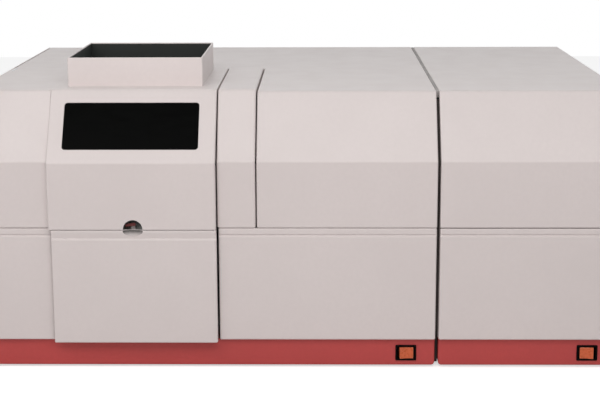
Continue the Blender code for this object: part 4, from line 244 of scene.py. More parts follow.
def grid_faces(u, v, outlines=(), dropped=None):
    """Faces of a grid with columns u and rows v, less what lies inside the outlines, whose corners are grid
    points. Of a face that an outline cuts from corner to corner, the outer half stays."""
    index = np.arange(len(u) * len(v)).reshape(len(v), len(u))
    a, b, c, d = index[:-1, :-1], index[:-1, 1:], index[1:, 1:], index[1:, :-1]
    low_u, low_v = np.meshgrid(u[:-1], v[:-1])
    high_u, high_v = np.meshgrid(u[1:], v[1:])
    mid_u, mid_v = (low_u + high_u) / 2, (low_v + high_v) / 2
    near_u, near_v = (high_u - low_u) / 6, (high_v - low_v) / 6
    spots = [
        (mid_u, low_v + near_v), (high_u - near_u, mid_v), (mid_u, high_v - near_v), (low_u + near_u, mid_v),
    ]
    clear = [np.zeros(a.shape, bool)]
    south, east, north, west = [
        np.any(clear + [inside(line, *spot) for line in outlines], axis=0) for spot in spots
    ]
    keep = np.ones(a.shape, bool) if dropped is None else ~dropped
    whole = keep & ~(south | east | north | west)
    faces = [np.stack([x[whole] for x in (a, b, c, d)], 1)]
    halves = []
    first = keep & (south == east) & (north == west) & (south != north)
    second = keep & (south == west) & (north == east) & (south != north)
    for cut, gone, three in (
        (first, south, (a, c, d)), (first, north, (a, b, c)),
        (second, south, (b, c, d)), (second, north, (a, b, d)),
    ):
        halves.append(np.stack([x[cut & gone] for x in three], 1))
    return faces[0].tolist() + np.vstack(halves).tolist()


def wrapped_faces(rows, columns, closed_rows=False):
    """Faces of a grid whose columns run round: the last joins the first."""
    index = np.arange(rows * columns).reshape(rows, columns)
    index = np.hstack([index, index[:, :1]])
    if closed_rows:
        index = np.vstack([index, index[:1]])
    quads = np.stack([index[:-1, :-1], index[:-1, 1:], index[1:, 1:], index[1:, :-1]], -1)
    return quads.reshape(-1, 4).tolist()


# Parts of a mesh, each as (points, faces)
def moved(part, shift=(0, 0, 0), turn=None):
    """The part turned by a 3 x 3 matrix, then shifted."""
    points, faces = part
    points = np.asarray(points, float)
    if turn is not None:
        points = points @ np.asarray(turn, float).T
    return points + np.asarray(shift, float), faces


AXES = {
    "z": np.eye(3),
    "y": np.array([[1, 0, 0], [0, 0, 1], [0, -1, 0]], float),
    "-y": np.array([[1, 0, 0], [0, 0, -1], [0, 1, 0]], float),
    "x": np.array([[0, 0, 1], [1, 0, 0], [0, 1, 0]], float),
}


def turned_in_plane(degrees):
    """Turn about the third axis: (x cos t - y sin t, x sin t + y cos t, z)."""
    c, s = math.cos(math.radians(degrees)), math.sin(math.radians(degrees))
    return np.array([[c, -s, 0], [s, c, 0], [0, 0, 1]])


def turned(profile, radii, base, axis="z", sides=48, steps=4, margin=0.3 * MM):
    """A turned part: (r, h) runs round the axis as (r cos t, r sin t, h), outer side upwards, its corners
    rounded by their radii. Ends at r = 0 close to a point."""
    line = on_line(bend_pieces(profile, radii), line_stops(profile, radii, steps=steps, margin=margin))
    t = np.arange(sides) * math.tau / sides
    points = np.stack([
        line[:, :1] * np.cos(t), line[:, :1] * np.sin(t), np.repeat(line[:, 1:], sides, 1),
    ], -1).reshape(-1, 3)
    return moved((points, wrapped_faces(len(line), sides)), base, AXES[axis])


def ring_section(low, high, corner, section, radii, steps=6, marks=()):
    """A section of (outward step, height) carried round a rectangle with rounded corners.

    Each row is the rectangle grown by its outward step s, with corners of radius corner + s. The columns run
    anticlockwise from the front left, those of the front side at the marks as well.
    """
    line = on_line(bend_pieces(section, radii), line_stops(section, radii, steps=steps, margin=0.4 * MM))
    grow = line[:, 0][:, None]
    radius = np.maximum(corner + grow, 0.4 * MM)
    (low_x, low_y), (high_x, high_y) = low, high
    a = np.linspace(0, math.pi / 2, 7)
    marks = np.asarray(marks, float)
    front = np.clip(marks[None], low_x - grow + radius, high_x + grow - radius)
    columns_x, columns_y = [front], [np.repeat(low_y - grow, len(marks), 1)]
    spots = [(high_x, low_y, 1, -1, -math.pi / 2), (high_x, high_y, 1, 1, 0),
             (low_x, high_y, -1, 1, math.pi / 2), (low_x, low_y, -1, -1, math.pi)]
    for x, y, s, t, start in spots:
        columns_x.append(x + s * (grow - radius) + radius * np.cos(a + start))
        columns_y.append(y + t * (grow - radius) + radius * np.sin(a + start))
    xs, ys = np.hstack(columns_x), np.hstack(columns_y)
    points = np.stack([xs, ys, np.repeat(line[:, 1:], xs.shape[1], 1)], -1)
    return points


def tube(path, radius, across, sides):
    """A round section carried along a flat path: at each point it lies in the plane of across and of
    across x tangent, so p + r (across cos t + (across x tangent) sin t)."""
    path = np.asarray(path, float)
    tangent = np.gradient(path, axis=0)
    tangent /= np.linalg.norm(tangent, axis=1, keepdims=True)
    across = np.asarray(across, float)
    upright = np.cross(tangent, across)
    t = np.arange(sides) * math.tau / sides
    points = path[:, None] + radius * (
        across[None, None] * np.cos(t)[None, :, None] + upright[:, None] * np.sin(t)[None, :, None]
    )
    faces = wrapped_faces(len(path), sides)
    count = len(path) * sides
    faces += [list(range(sides))[::-1], list(range(count - sides, count))]
    return points.reshape(-1, 3), faces


def slab(outline, thickness, edge=0.4 * MM):
    """A flat plate: its outline, anticlockwise, drawn in by the mitre at each end of its height.

    A row's inset is e (1 - sin a) while its height is e (1 - cos a) from the face, so the edges are quarter
    rounds. The two faces close it.
    """
    line = np.asarray(outline, float)
    before = line - np.roll(line, 1, 0)
    after = np.roll(line, -1, 0) - line
    before /= np.linalg.norm(before, axis=1, keepdims=True)
    after /= np.linalg.norm(after, axis=1, keepdims=True)
    left = np.stack([-before[:, 1], before[:, 0]], 1)
    beside = np.stack([-after[:, 1], after[:, 0]], 1)
    share = np.maximum(1 + (left * beside).sum(1, keepdims=True), 0.3)
    mitre = (left + beside) / share
    a = np.linspace(0, math.pi / 2, 4)
    inset = np.concatenate([edge * (1 - np.sin(a)), edge * (1 - np.cos(a))])
    height = np.concatenate([edge * (1 - np.cos(a)), thickness - edge + edge * np.sin(a)])
    flat = line[None] + mitre[None] * inset[:, None, None]
    points = np.concatenate([flat, np.broadcast_to(height[:, None, None], (*flat.shape[:2], 1))], 2)
    count = len(line)
    faces = wrapped_faces(len(height), count)
    faces += [list(range(count))[::-1], list(range((len(height) - 1) * count, len(height) * count))]
    return points.reshape(-1, 3), faces


def filleted(points, radii, steps=5):
    """A closed outline with rounded corners: the bent line from the middle of its last side round to
    itself."""
    corner = np.array(points, float)
    middle = (corner[0] + corner[-1]) / 2
    line = [middle, *corner, middle]
    radii = np.broadcast_to(radii, len(corner))
    return on_line(bend_pieces(line, radii), line_stops(line, radii, steps=steps, margin=0))[:-1]


def circle(centre, radius, sides=40, clockwise=True):
    """(x + r cos t, z + r sin t), clockwise where it is a hole."""
    t = np.arange(sides) * math.tau / sides * (-1 if clockwise else 1)
    return np.stack([centre[0] + radius * np.cos(t), centre[1] + radius * np.sin(t)], 1)


def plate(outlines, thickness, edge=0.4 * MM):
    """A flat plate with holes, from 0 up to its thickness: outer outline anticlockwise, holes clockwise.

    The rows are a slab's, for each outline, and the two faces are the triangles outside every hole.
    """
    parts = [slab(outline, thickness, edge) for outline in outlines]
    rows = len(parts[0][0]) // len(outlines[0])
    points, faces = joined([(more, listed[:-2]) for more, listed in parts])
    sizes = [len(more) // rows for more, _ in parts]
    starts = np.cumsum([0] + [len(more) for more, _ in parts])
    low = np.concatenate([start + np.arange(size) for start, size in zip(starts, sizes)])
    high = np.concatenate([start + (rows - 1) * size + np.arange(size) for start, size in zip(starts, sizes)])
    firsts = np.cumsum([0] + sizes)
    edges = [(a + k, a + (k + 1) % size) for a, size in zip(firsts, sizes) for k in range(size)]
    rim = points[low][:, :2]
    spots = [Vector(spot) for spot in rim.tolist()]
    _, _, triangles, sources, _, _ = delaunay_2d_cdt(spots, edges, [], 2, 1e-8)
    source = np.array([found[0] for found in sources])
    corner = source[np.array(triangles)]
    middle = rim[corner].mean(1)
    holes = [inside(outline, middle[:, 0], middle[:, 1]) for outline in outlines[1:]]
    corner = corner[~np.any(holes, axis=0)] if holes else corner
    side = rim[corner]
    first, second = side[:, 1] - side[:, 0], side[:, 2] - side[:, 0]
    turned_over = first[:, 0] * second[:, 1] < first[:, 1] * second[:, 0]
    corner = np.where(turned_over[:, None], corner[:, ::-1], corner)
    return points, faces + high[corner].tolist() + low[corner][:, ::-1].tolist()


def standing(part, back):
    """A flat part set upright across the object, its first face at back."""
    return moved(part, (0, back, 0), AXES["-y"])


def lengthwise(part, left):
    """A flat part drawn in (Y, Z), its first face at left."""
    return moved(part, (left, 0, 0), AXES["x"])


def wire_ring(centre, radius, wire, sides=56):
    """A wire bent to a circle: ((R + w cos b) cos t, (R + w cos b) sin t, w sin b)."""
    across = 8
    t = (np.arange(sides) * math.tau / sides)[None]
    b = (np.arange(across) * math.tau / across)[:, None]
    out = radius + wire * np.cos(b)
    height = np.broadcast_to(wire * np.sin(b), (across, sides))
    points = np.stack([out * np.cos(t), out * np.sin(t), height], -1)
    faces = [face[::-1] for face in wrapped_faces(across, sides, closed_rows=True)]
    return moved((points.reshape(-1, 3), faces), centre, AXES["-y"])


def screw(at, radius=3.1 * MM, height=1.8 * MM):
    """A pan-head screw's head with its round driver recess."""
    profile = [
        (0, -0.4 * MM), (radius, -0.4 * MM), (radius, 0.4 * height), (0.6 * radius, height),
        (0.4 * radius, height), (0.3 * radius, 0.25 * height), (0, 0.2 * height),
    ]
    radii = (LEAST, 0.4 * MM, 0.4 * MM, LEAST, LEAST)
    return turned(profile, radii, at, "y", sides=14, steps=1, margin=0)


def joined(parts):
    """Several parts as one, their faces counted on."""
    points, faces, start = [], [], 0
    for more, listed in parts:
        more = np.asarray(more, float).reshape(-1, 3)
        faces += [[corner + start for corner in face] for face in listed]
        points.append(more)
        start += len(more)
    return np.vstack(points), faces


def folded_sheet(points, radii, low_x, high_x, flanges, folds, columns=(), marks=None, openings=(), steps=8):
    """A bent sheet with folded sides: (x, line moved in by d), where d follows the fold across the sheet.

    Across a side, x = x0 + r (1 - cos a) while d = r (1 - sin a), then d grows straight to the flange's
    depth. The flanges are notched at the bends, as a real sheet is before it is bent, and left off the
    short returns.
    Openings are outlines in (x, q).
    """
    (left_x, left_d), (right_x, right_d) = (
        (
            np.concatenate([[0, 0], arc_stops(fold)]),
            np.concatenate([[flange, fold + MARGIN], quarter_depths(fold)]),
        )
        if flange else (np.zeros(1), np.zeros(1)) for flange, fold in zip(flanges, folds)
    )
    left_x, right_x, right_d = low_x + left_x, high_x - right_x[::-1], right_d[::-1]
    inner_low, inner_high = left_x[-1], right_x[0]
    spread = [inner_low + MARGIN, inner_high - MARGIN, *columns]
    middle = np.unique(np.round([x for x in spread if inner_low + LEAST < x < inner_high - LEAST], 9))
    x = np.concatenate([left_x, middle, right_x])
    d = np.concatenate([left_d, np.zeros(len(middle)), right_d])
    q = line_stops(points, radii, marks, steps)
    grid = np.empty((len(q), len(x), 3))
    grid[..., 0] = x
    for column, depth in enumerate(d):
        grid[:, column, 1:] = on_line(bend_pieces(points, radii, depth), q)
    # Rows in a bend or within a margin of one, and rows of short returns, lose their flanges
    mid_d = (d[:-1] + d[1:]) / 2
    bend = (q[:-1].astype(int) % 2 == 1) | (np.isin(q[:-1], np.arange(2, 9, 2)))
    bend |= np.isin(q[1:], np.arange(1, 9, 2))
    bend &= ~((q[:-1].astype(int) % 2 == 0) & (q[1:] - q[:-1] > 0.3))
    flange = mid_d > max(folds) + 0.2 * MM
    starts, ends, _, _ = bend_pieces(points, radii)
    short = np.linalg.norm(ends - starts, axis=1) < max(flanges) + 1 * MM
    stub = short[np.minimum(q[:-1].astype(int) // 2, len(short) - 1)]
    dropped = (bend | stub)[:, None] & flange[None]
    # Columns as if the sides were flat, for the openings' outlines
    u = np.where(d > LEAST, x - np.sign(inner_high - x) * 1e-4 - np.where(x < inner_high, d, -d), x)
    u = np.sort(u) if np.any(np.diff(u) <= 0) else u
    faces = grid_faces(u, q, openings, dropped)
    return grid.reshape(-1, 3), faces


# Pieces
def material_of(name):
    return bpy.data.materials[name]


def piece(name, body, part, finish, replaces=(), sheet=0.0, edge=0.0, inner=None):
    """An object of one part: welded and without unused points. A sheet gets its thickness behind it and
    rounded edges, any other part is closed."""
    points, faces = part
    used = np.unique(np.concatenate([np.asarray(face) for face in faces]))
    renumber = np.zeros(len(points), int)
    renumber[used] = np.arange(len(used))
    mesh = bpy.data.meshes.new(name)
    mesh.from_pydata(np.asarray(points)[used].tolist(), [], [renumber[face].tolist() for face in faces])
    maker = bmesh.new()
    maker.from_mesh(mesh)
    bmesh.ops.remove_doubles(maker, verts=maker.verts, dist=1e-6)
    if not sheet:
        bmesh.ops.recalc_face_normals(maker, faces=maker.faces)
    maker.to_mesh(mesh)
    maker.free()
    mesh.validate()
    mesh.shade_smooth()
    mesh.set_sharp_from_angle(angle=math.radians(30))
    item = bpy.data.objects.new(name, mesh)
    bpy.context.scene.collection.objects.link(item)
    mesh.materials.append(material_of(finish))
    if sheet:
        wall = item.modifiers.new("sheet", "SOLIDIFY")
        wall.thickness = sheet
        wall.offset = -1
        wall.use_even_offset = True
        if inner:
            mesh.materials.append(material_of(inner))
            wall.material_offset = 1
    if edge:
        trim = item.modifiers.new("edge", "BEVEL")
        trim.width = edge
        trim.segments = 2
        trim.limit_method = "ANGLE"
        trim.angle_limit = math.radians(50)
        trim.use_clamp_overlap = True
        trim.harden_normals = False
    item.modifiers.new("shading", "WEIGHTED_NORMAL").keep_sharp = True
    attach(item, body)
    if replaces:
        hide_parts(*replaces)


def enamel_sheet(node, body, part):
    """The cabinet's sheet metal in place of a node, with the settings' thickness and edge."""
    sheet = bpy.context.scene.spectro_sheet
    piece(node + "_sheet", body, part, "enamel", [node], sheet.thickness, sheet.edge)


def banded(grid):
    """A grid of closed rows as a part."""
    return grid.reshape(-1, 3), wrapped_faces(*grid.shape[:2])


# Node materials on object coordinates
def put(tree, kind, values=None, **fields):
    """A node with its settings, its inputs set to values or linked to other nodes' outputs."""
    made = tree.nodes.new(kind)
    for key, value in fields.items():
        setattr(made, key, value)
    for key, value in (values or {}).items():
        if isinstance(value, bpy.types.NodeSocket):
            tree.links.new(value, made.inputs[key])
        else:
            made.inputs[key].default_value = value
    return made


def ranged(tree, value, low, high, to_low, to_high):
    """A value carried from one range to another, clamped."""
    made = put(tree, "ShaderNodeMapRange", {
        "Value": value, "From Min": low, "From Max": high, "To Min": to_low, "To Max": to_high,
    })
    return made.outputs["Result"]


def noise(tree, place, scale, detail=2.0, stretch=None):
    """Cloudy noise on the object's coordinates."""
    if stretch is not None:
        place = put(tree, "ShaderNodeMapping", {"Vector": place, "Scale": stretch}).outputs["Vector"]
    made = put(tree, "ShaderNodeTexNoise", {"Vector": place, "Scale": scale, "Detail": detail})
    return made.outputs["Fac"]


def tinted(tree, factor, first, second):
    """A colour between two, by a factor."""
    made = put(tree, "ShaderNodeMix", {"Factor": factor}, data_type="RGBA")
    for socket, value in (("A_Color", first), ("B_Color", second)):
        target = next(s for s in made.inputs if s.identifier == socket)
        if isinstance(value, bpy.types.NodeSocket):
            tree.links.new(value, target)
        else:
            target.default_value = (*value, 1.0)
    return next(s for s in made.outputs if s.identifier == "Result_Color")


def times(tree, first, second):
    """The product of two values."""
    return put(tree, "ShaderNodeMath", {0: first, 1: second}, operation="MULTIPLY").outputs[0]


def worn_edges(tree, place, radius, share):
    """Where the surface turns sharply within the radius, broken up by noise."""
    soft = put(tree, "ShaderNodeBevel", {"Radius": radius}, samples=4).outputs["Normal"]
    flat = put(tree, "ShaderNodeNewGeometry").outputs["Normal"]
    match = put(tree, "ShaderNodeVectorMath", {0: soft, 1: flat}, operation="DOT_PRODUCT").outputs["Value"]
    edge = ranged(tree, match, 0.995, 0.93, 0.0, 1.0)
    patches = ranged(tree, noise(tree, place, 55, 4), 0.38, 0.62, 0.25, 1.0)
    return times(tree, times(tree, edge, patches), share)


def scaled(colour, share):
    """A colour times a share, kept between 0 and 1."""
    return tuple(min(max(channel * share, 0.0), 1.0) for channel in colour)


def new_material(name):
    """A material as its node tree, its shader and its object coordinates."""
    made = bpy.data.materials.new(name)
    made.use_nodes = True
    tree = made.node_tree
    shader = tree.nodes["Principled BSDF"]
    place = put(tree, "ShaderNodeTexCoord").outputs["Object"]
    return tree, shader, place


def link(tree, output, socket):
    tree.links.new(output, socket)


def shaded(tree, shader, **looks):
    """Sets or links the shader's inputs, whose names have _ for a space."""
    for name, value in looks.items():
        socket = shader.inputs[name.replace("_", " ")]
        if isinstance(value, bpy.types.NodeSocket):
            link(tree, value, socket)
        else:
            socket.default_value = value


def bumped(tree, shader, strength, distance, height):
    """Relief from a height, with its distance in millimetres."""
    made = put(tree, "ShaderNodeBump", {"Strength": strength, "Distance": distance * MM, "Height": height})
    link(tree, made.outputs["Normal"], shader.inputs["Normal"])


def clouded(tree, value, first, second, spread=0.2, top=1.0):
    """A colour between two, by a noise's middle range."""
    return tinted(tree, ranged(tree, value, 0.5 - spread, 0.5 + spread, 0.0, top), first, second)


def painted(name, colour, roughness=0.42, edge_colour=None, specular=0.5, mottle=0.02):
    """Stove enamel: orange peel in the bump, clouds in colour and gloss, paler where edges are rubbed."""
    tree, shader, place = new_material(name)
    base = clouded(tree, noise(tree, place, 7, 4), scaled(colour, 1 - mottle), scaled(colour, 1 + mottle))
    base = clouded(tree, noise(tree, place, 160, 3), base, scaled(colour, 1 - 2 * mottle), 0.15, 0.35)
    base = tinted(tree, worn_edges(tree, place, 0.8 * MM, 0.5), base, edge_colour or scaled(colour, 1.25))
    gloss = ranged(tree, noise(tree, place, 24, 5), 0.3, 0.7, roughness - 0.05, roughness + 0.06)
    shaded(tree, shader, Base_Color=base, Roughness=gloss, Specular_IOR_Level=specular)
    bumped(tree, shader, 0.35, 0.02, noise(tree, place, 900, 2))


def metal(name, colour, roughness=0.35, stretch=(1, 1, 1), scale=700.0):
    """Bare metal: fine drawn lines or grain in bump and gloss, clouded tone, brighter rubbed edges."""
    tree, shader, place = new_material(name)
    lines = noise(tree, place, scale, 3, stretch)
    base = clouded(tree, noise(tree, place, 18, 5), scaled(colour, 0.88), scaled(colour, 1.06))
    base = clouded(tree, lines, base, scaled(colour, 0.808), 0.1, 0.3)
    base = tinted(tree, worn_edges(tree, place, 0.6 * MM, 0.5), base, scaled(colour, 1.35))
    gloss = ranged(tree, lines, 0.3, 0.7, roughness - 0.08, roughness + 0.1)
    shaded(tree, shader, Base_Color=base, Metallic=1.0, Roughness=gloss)
    bumped(tree, shader, 0.4, 0.01, lines)


def zinc(name, colour):
    """Zinc-plated sheet: soft crystal flakes in tone and gloss."""
    tree, shader, place = new_material(name)
    flakes = put(tree, "ShaderNodeTexVoronoi", {"Vector": place, "Scale": 110.0}, feature="F1")
    tone = put(tree, "ShaderNodeSeparateColor", {"Color": flakes.outputs["Color"]}).outputs["Red"]
    base = tinted(tree, tone, scaled(colour, 0.86), scaled(colour, 1.08))
    base = tinted(tree, worn_edges(tree, place, 0.6 * MM, 0.4), base, scaled(colour, 1.3))
    shaded(tree, shader, Base_Color=base, Metallic=1.0, Roughness=ranged(tree, tone, 0.0, 1.0, 0.34, 0.5))
    bumped(tree, shader, 0.2, 0.02, noise(tree, place, 400, 3))


def moulded(name, colour, roughness=0.45, specular=0.5, edge_share=0.4):
    """Moulded plastic or rubber: a fine spark grain, with its edges polished paler by handling."""
    tree, shader, place = new_material(name)
    clouds = noise(tree, place, 40, 4)
    base = clouded(tree, clouds, scaled(colour, 0.88), scaled(colour, 1.12))
    lifted = tuple(min(channel * 1.4 + 0.012, 1.0) for channel in colour)
    base = tinted(tree, worn_edges(tree, place, 0.5 * MM, edge_share), base, lifted)
    gloss = ranged(tree, clouds, 0.3, 0.7, roughness - 0.06, roughness + 0.08)
    shaded(tree, shader, Base_Color=base, Roughness=gloss, Specular_IOR_Level=specular)
    bumped(tree, shader, 0.35, 0.03, noise(tree, place, 1300.0, 2))


def pane_finish(name, colour):
    """Smoked pane: near black, slightly matt, with faint wiping marks in its gloss."""
    tree, shader, place = new_material(name)
    wiped = noise(tree, place, 30, 5, (1, 1, 4))
    base = tinted(tree, wiped, scaled(colour, 0.8), scaled(colour, 1.3))
    gloss = ranged(tree, wiped, 0.35, 0.65, 0.16, 0.26)
    shaded(tree, shader, Base_Color=base, Roughness=gloss, Specular_IOR_Level=0.012)


def lens_finish(name, colour):
    """Translucent orange plastic lit from behind, with mould flow in its depth."""
    tree, shader, place = new_material(name)
    flow = noise(tree, place, 260, 3)
    base = clouded(tree, flow, scaled(colour, 0.9), scaled(colour, 1.1))
    base = tinted(tree, worn_edges(tree, place, 1.4 * MM, 0.75), base, (0.5, 0.16, 0.1))
    gloss = ranged(tree, flow, 0.3, 0.7, 0.24, 0.34)
    shaded(tree, shader, Base_Color=base, Emission_Color=base, Emission_Strength=0.12, Roughness=gloss)
    bumped(tree, shader, 0.2, 0.03, noise(tree, place, 900, 2))


def shaded_cup_finish(name, colour, shade, low_z, high_z):
    """Enamel with painted shade: darker from low_z up to high_z, for the shade in the scoop under the hood's
    edge.
    """
    tree, shader, place = new_material(name)
    height = put(tree, "ShaderNodeSeparateXYZ", {0: place}).outputs["Z"]
    painted_shade = ranged(tree, height, low_z, high_z, 0.0, 1.0)
    cloud = ranged(tree, noise(tree, place, 220, 4), 0.3, 0.7, 0.85, 1.1)
    painted_shade = put(tree, "ShaderNodeMath", {0: painted_shade, 1: cloud}, operation="MULTIPLY", use_clamp=True).outputs[0]
    base = tinted(tree, painted_shade, colour, shade)
    shaded(tree, shader, Base_Color=base, Roughness=ranged(tree, painted_shade, 0.0, 1.0, 0.45, 0.8))
    bumped(tree, shader, 0.3, 0.02, noise(tree, place, 900, 2))


def glass_finish(name, colour):
    """Lamp glass with a silvery getter film inside, clouded along its length."""
    tree, shader, place = new_material(name)
    film = noise(tree, place, 60, 4, (1, 0.3, 1))
    base = clouded(tree, film, scaled(colour, 0.55), colour, 0.15)
    gloss = ranged(tree, film, 0.3, 0.7, 0.05, 0.16)
    shaded(tree, shader, Base_Color=base, Metallic=0.35, Roughness=gloss, Coat_Weight=0.6)
    bumped(tree, shader, 0.08, 0.1, film)


def board_finish(name, colour):
    """Solder-masked circuit board: tracks from a square cell pattern under the green varnish."""
    tree, shader, place = new_material(name)
    shares = {"Color1": 0.8, "Color2": 1.1, "Mortar": 1.7}
    tones = {key: (*scaled(colour, share), 1) for key, share in shares.items()}
    cells = put(tree, "ShaderNodeTexBrick", {
        "Vector": place, "Scale": 90.0, "Mortar Size": 0.08, "Brick Width": 0.9, "Row Height": 0.3, **tones,
    })
    shaded(tree, shader, Base_Color=cells.outputs["Color"], Roughness=0.35)
    bumped(tree, shader, 0.4, 0.05, cells.outputs["Fac"])


def winding_finish(name, colour):
    """Enamelled copper wire: fine turns from a wave round the core, varnished."""
    tree, shader, place = new_material(name)
    wave = put(tree, "ShaderNodeTexWave", {
        "Vector": place, "Scale": 140.0, "Distortion": 0.6, "Detail": 1.0, "Detail Scale": 2.0,
    }, wave_type="BANDS", bands_direction="Z").outputs["Fac"]
    base = tinted(tree, wave, scaled(colour, 0.45), colour)
    gloss = ranged(tree, noise(tree, place, 80, 3), 0.3, 0.7, 0.3, 0.45)
    shaded(tree, shader, Base_Color=base, Metallic=0.8, Coat_Weight=0.4, Roughness=gloss)
    bumped(tree, shader, 0.6, 0.3, wave)


NODE_FINISHES = {
    "enamel": ["left_side_panel"],
    "steel": ["burner_liner", "guide_rods", "igniter"],
    "zinc plate": ["turret_stand", "fold_mirror", "window_retainer", "power_supply"],
    "dark sheet": ["sample_lens_tube", "entrance_tube", "monochromator"],
    "aluminium": ["optical_bench", "stage_base", "height_carriage", "cross_slide"],
    "white plastic": ["drain_loop"],
    "black plastic": [
        "turret_motor", "main_fan_frame", "furnace_fan_frame", "main_fan_rotor", "furnace_fan_rotor",
    ],
    "circuit board": ["control_board"],
    "winding": ["furnace_transformer"],
}


class SPECTRO_OT_finishes(bpy.types.Operator):
    """Makes the materials and gives them to the frame's own nodes."""

    bl_idname = "spectro.finishes"
    bl_label = "Finishes"

    def execute(self, context):
        looks = context.scene.spectro_finish
        painted("enamel", tuple(looks.enamel))
        # A lighter copy of the enamel for the chimney collar: painted light for its brighter faces
        painted("lit collar enamel", scaled(tuple(looks.enamel), 1.1))
        painted("red enamel", tuple(looks.base), roughness=0.5, edge_colour=(0.55, 0.2, 0.18), mottle=0.05)
        painted(
            "dark sheet", (0.035, 0.037, 0.038), roughness=0.5, edge_colour=(0.16, 0.16, 0.16), mottle=0.06,
        )
        painted(
            "collar lining", tuple(looks.lining), roughness=0.5, edge_colour=(0.2, 0.2, 0.2), specular=0.25,
        )
        metal("steel", (0.5, 0.5, 0.49), 0.38, (1, 1, 0.04))
        metal("titanium", (0.25, 0.236, 0.222), 0.46, (0.06, 1, 1))
        metal("aluminium", (0.44, 0.447, 0.455), 0.44, (0.3, 1, 1), scale=500)
        metal("brass", (0.68, 0.48, 0.2), 0.32, (1, 0.1, 1))
        zinc("zinc plate", (0.56, 0.57, 0.58))
        moulded("black plastic", (0.014, 0.014, 0.015))
        moulded("rubber", (0.022, 0.022, 0.022), 0.8, 0.2)
        moulded("switch black", (0.003, 0.002, 0.002), 0.6, 0.04, 0.1)
        # Dark plastic for the strip at the front of the gap between the cabinets: painted shade. The grey
        # plastic after it paints the gap's mix of shade and lit wall under the top, and is also the latch
        # post's own colour.
        moulded("gap shade dark", (0.06, 0.052, 0.05), 0.9, 0.1, 0.1)
        moulded("grey plastic and gap shade", (0.42, 0.4, 0.39), 0.9, 0.1, 0.1)
        painted("latch red", (0.15, 0.016, 0.014), roughness=0.5, mottle=0.06)
        # A dimmed copy of the enamel, the light end of the finger cup's painted shade
        dimmed_enamel = scaled(tuple(looks.enamel), 0.9)
        shaded_cup_finish("finger cup painted shade", dimmed_enamel, (0.08, 0.075, 0.072), *(WAIST_Z - mm(9.5, 2.5)))
        moulded("white plastic", (0.74, 0.73, 0.7), roughness=0.35)
        pane_finish("smoked pane", tuple(looks.pane))
        lens_finish("orange lens", tuple(looks.lens))
        glass_finish("lamp glass", (0.72, 0.76, 0.78))
        board_finish("circuit board", (0.02, 0.13, 0.06))
        winding_finish("winding", (0.66, 0.32, 0.17))
        for finish, names in NODE_FINISHES.items():
            for name in names:
                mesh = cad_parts[name].data
                mesh.materials.clear()
                mesh.materials.append(material_of(finish))
        return {"FINISHED"}


# Outer sheet metal
HEM = 2.2 * MM
COVER_FOOT_Z = WAIST_Z + 0.6 * MM
FAR = 99


def upper_line(front, top, back, lip=0.0):
    """An upper cover as (Y, Z): out along its lower hem, up the front and the slope, back, down its lip."""
    line = [
        (front + 7 * MM, COVER_FOOT_Z), (front, COVER_FOOT_Z), (front, BEVEL_Z),
        (FRONT_Y + SLOPE_RUN, top), (back, top),
    ]
    return line + [(back, top - lip)] if lip else line


def upper_radii(context, lip=False):
    """Bend radii of an upper cover's line."""
    sheet = context.scene.spectro_sheet
    return (HEM, sheet.bevel_bend, sheet.top_bend, 3 * MM) if lip else (HEM, sheet.bevel_bend, sheet.top_bend)


class SPECTRO_OT_covers(bpy.types.Operator):
    """The L-shaped main cover, the narrow cover and the furnace cabinet's cover."""

    bl_idname = "spectro.covers"
    bl_label = "Fixed covers"

    def execute(self, context):
        sheet = context.scene.spectro_sheet
        rows, fold, lip = sheet.bend_rows, 3 * MM, 12 * MM
        low, high = corners("narrow_cover")
        line, radii = upper_line(FRONT_Y, LID_TOP_Z, LID_BACK_Y), upper_radii(context)
        narrow = folded_sheet(line, radii, low[0], high[0], (lip, lip), (fold, fold), steps=rows)
        enamel_sheet("narrow_cover", "cabinet", narrow)
        line, radii = upper_line(FRONT_Y, TOP_Z, BACK_Y, lip), upper_radii(context, True)
        furnace = folded_sheet(
            line, radii, FURNACE_EDGE, RIGHT_EDGE - LEAST, (lip, lip), (2 * MM, fold), steps=rows,
        )
        enamel_sheet("furnace_cover", "cabinet", furnace)
        low, high = corners("main_cover")
        strip_front, strip_bend = LID_BACK_Y + 1.5 * MM, 1.9 * MM
        flat = strip_front + strip_bend
        top_start = FRONT_Y + SLOPE_RUN
        places = np.array([strip_front, flat, flat + MARGIN]) - top_start
        behind = along_straight(line, radii, 3, places[0])
        inner = COVER_X + fold
        cut = np.array([(-FAR, behind), (inner, behind), (inner, FAR), (-FAR, FAR)])
        main = folded_sheet(
            line, radii, COVER_X, MAIN_EDGE, (lip, lip), (fold, 2 * MM), marks={3: places}, openings=[cut],
            steps=rows,
        )
        back_line = [
            (strip_front, TOP_Z - 6 * MM), (strip_front, TOP_Z), (BACK_Y, TOP_Z), (BACK_Y, TOP_Z - lip),
        ]
        relief = COVER_X - 0.2 * MM
        corner = np.array([(relief, -FAR), (FAR, -FAR), (FAR, 2), (relief, 2)])
        strip = folded_sheet(
            back_line, (strip_bend, 3 * MM), low[0], inner, (lip, 0), (fold, 0), columns=[relief],
            openings=[corner], steps=rows,
        )
        enamel_sheet("main_cover", "cabinet", joined([main, strip]))
        return {"FINISHED"}


def side_outline(margin, bottom, back):
    """A side panel as (Y, Z), anticlockwise: the covers' outline drawn in by a margin."""
    line = [(FRONT_Y, bottom), (FRONT_Y, BEVEL_Z), (FRONT_Y + SLOPE_RUN, TOP_Z), (back, TOP_Z)]
    starts, ends, _, _ = bend_pieces(line, (LEAST, LEAST), margin)
    corner = np.vstack([starts, ends[-1:], [(back, bottom)]])
    return filleted(corner[::-1], 2.5 * MM, 4)


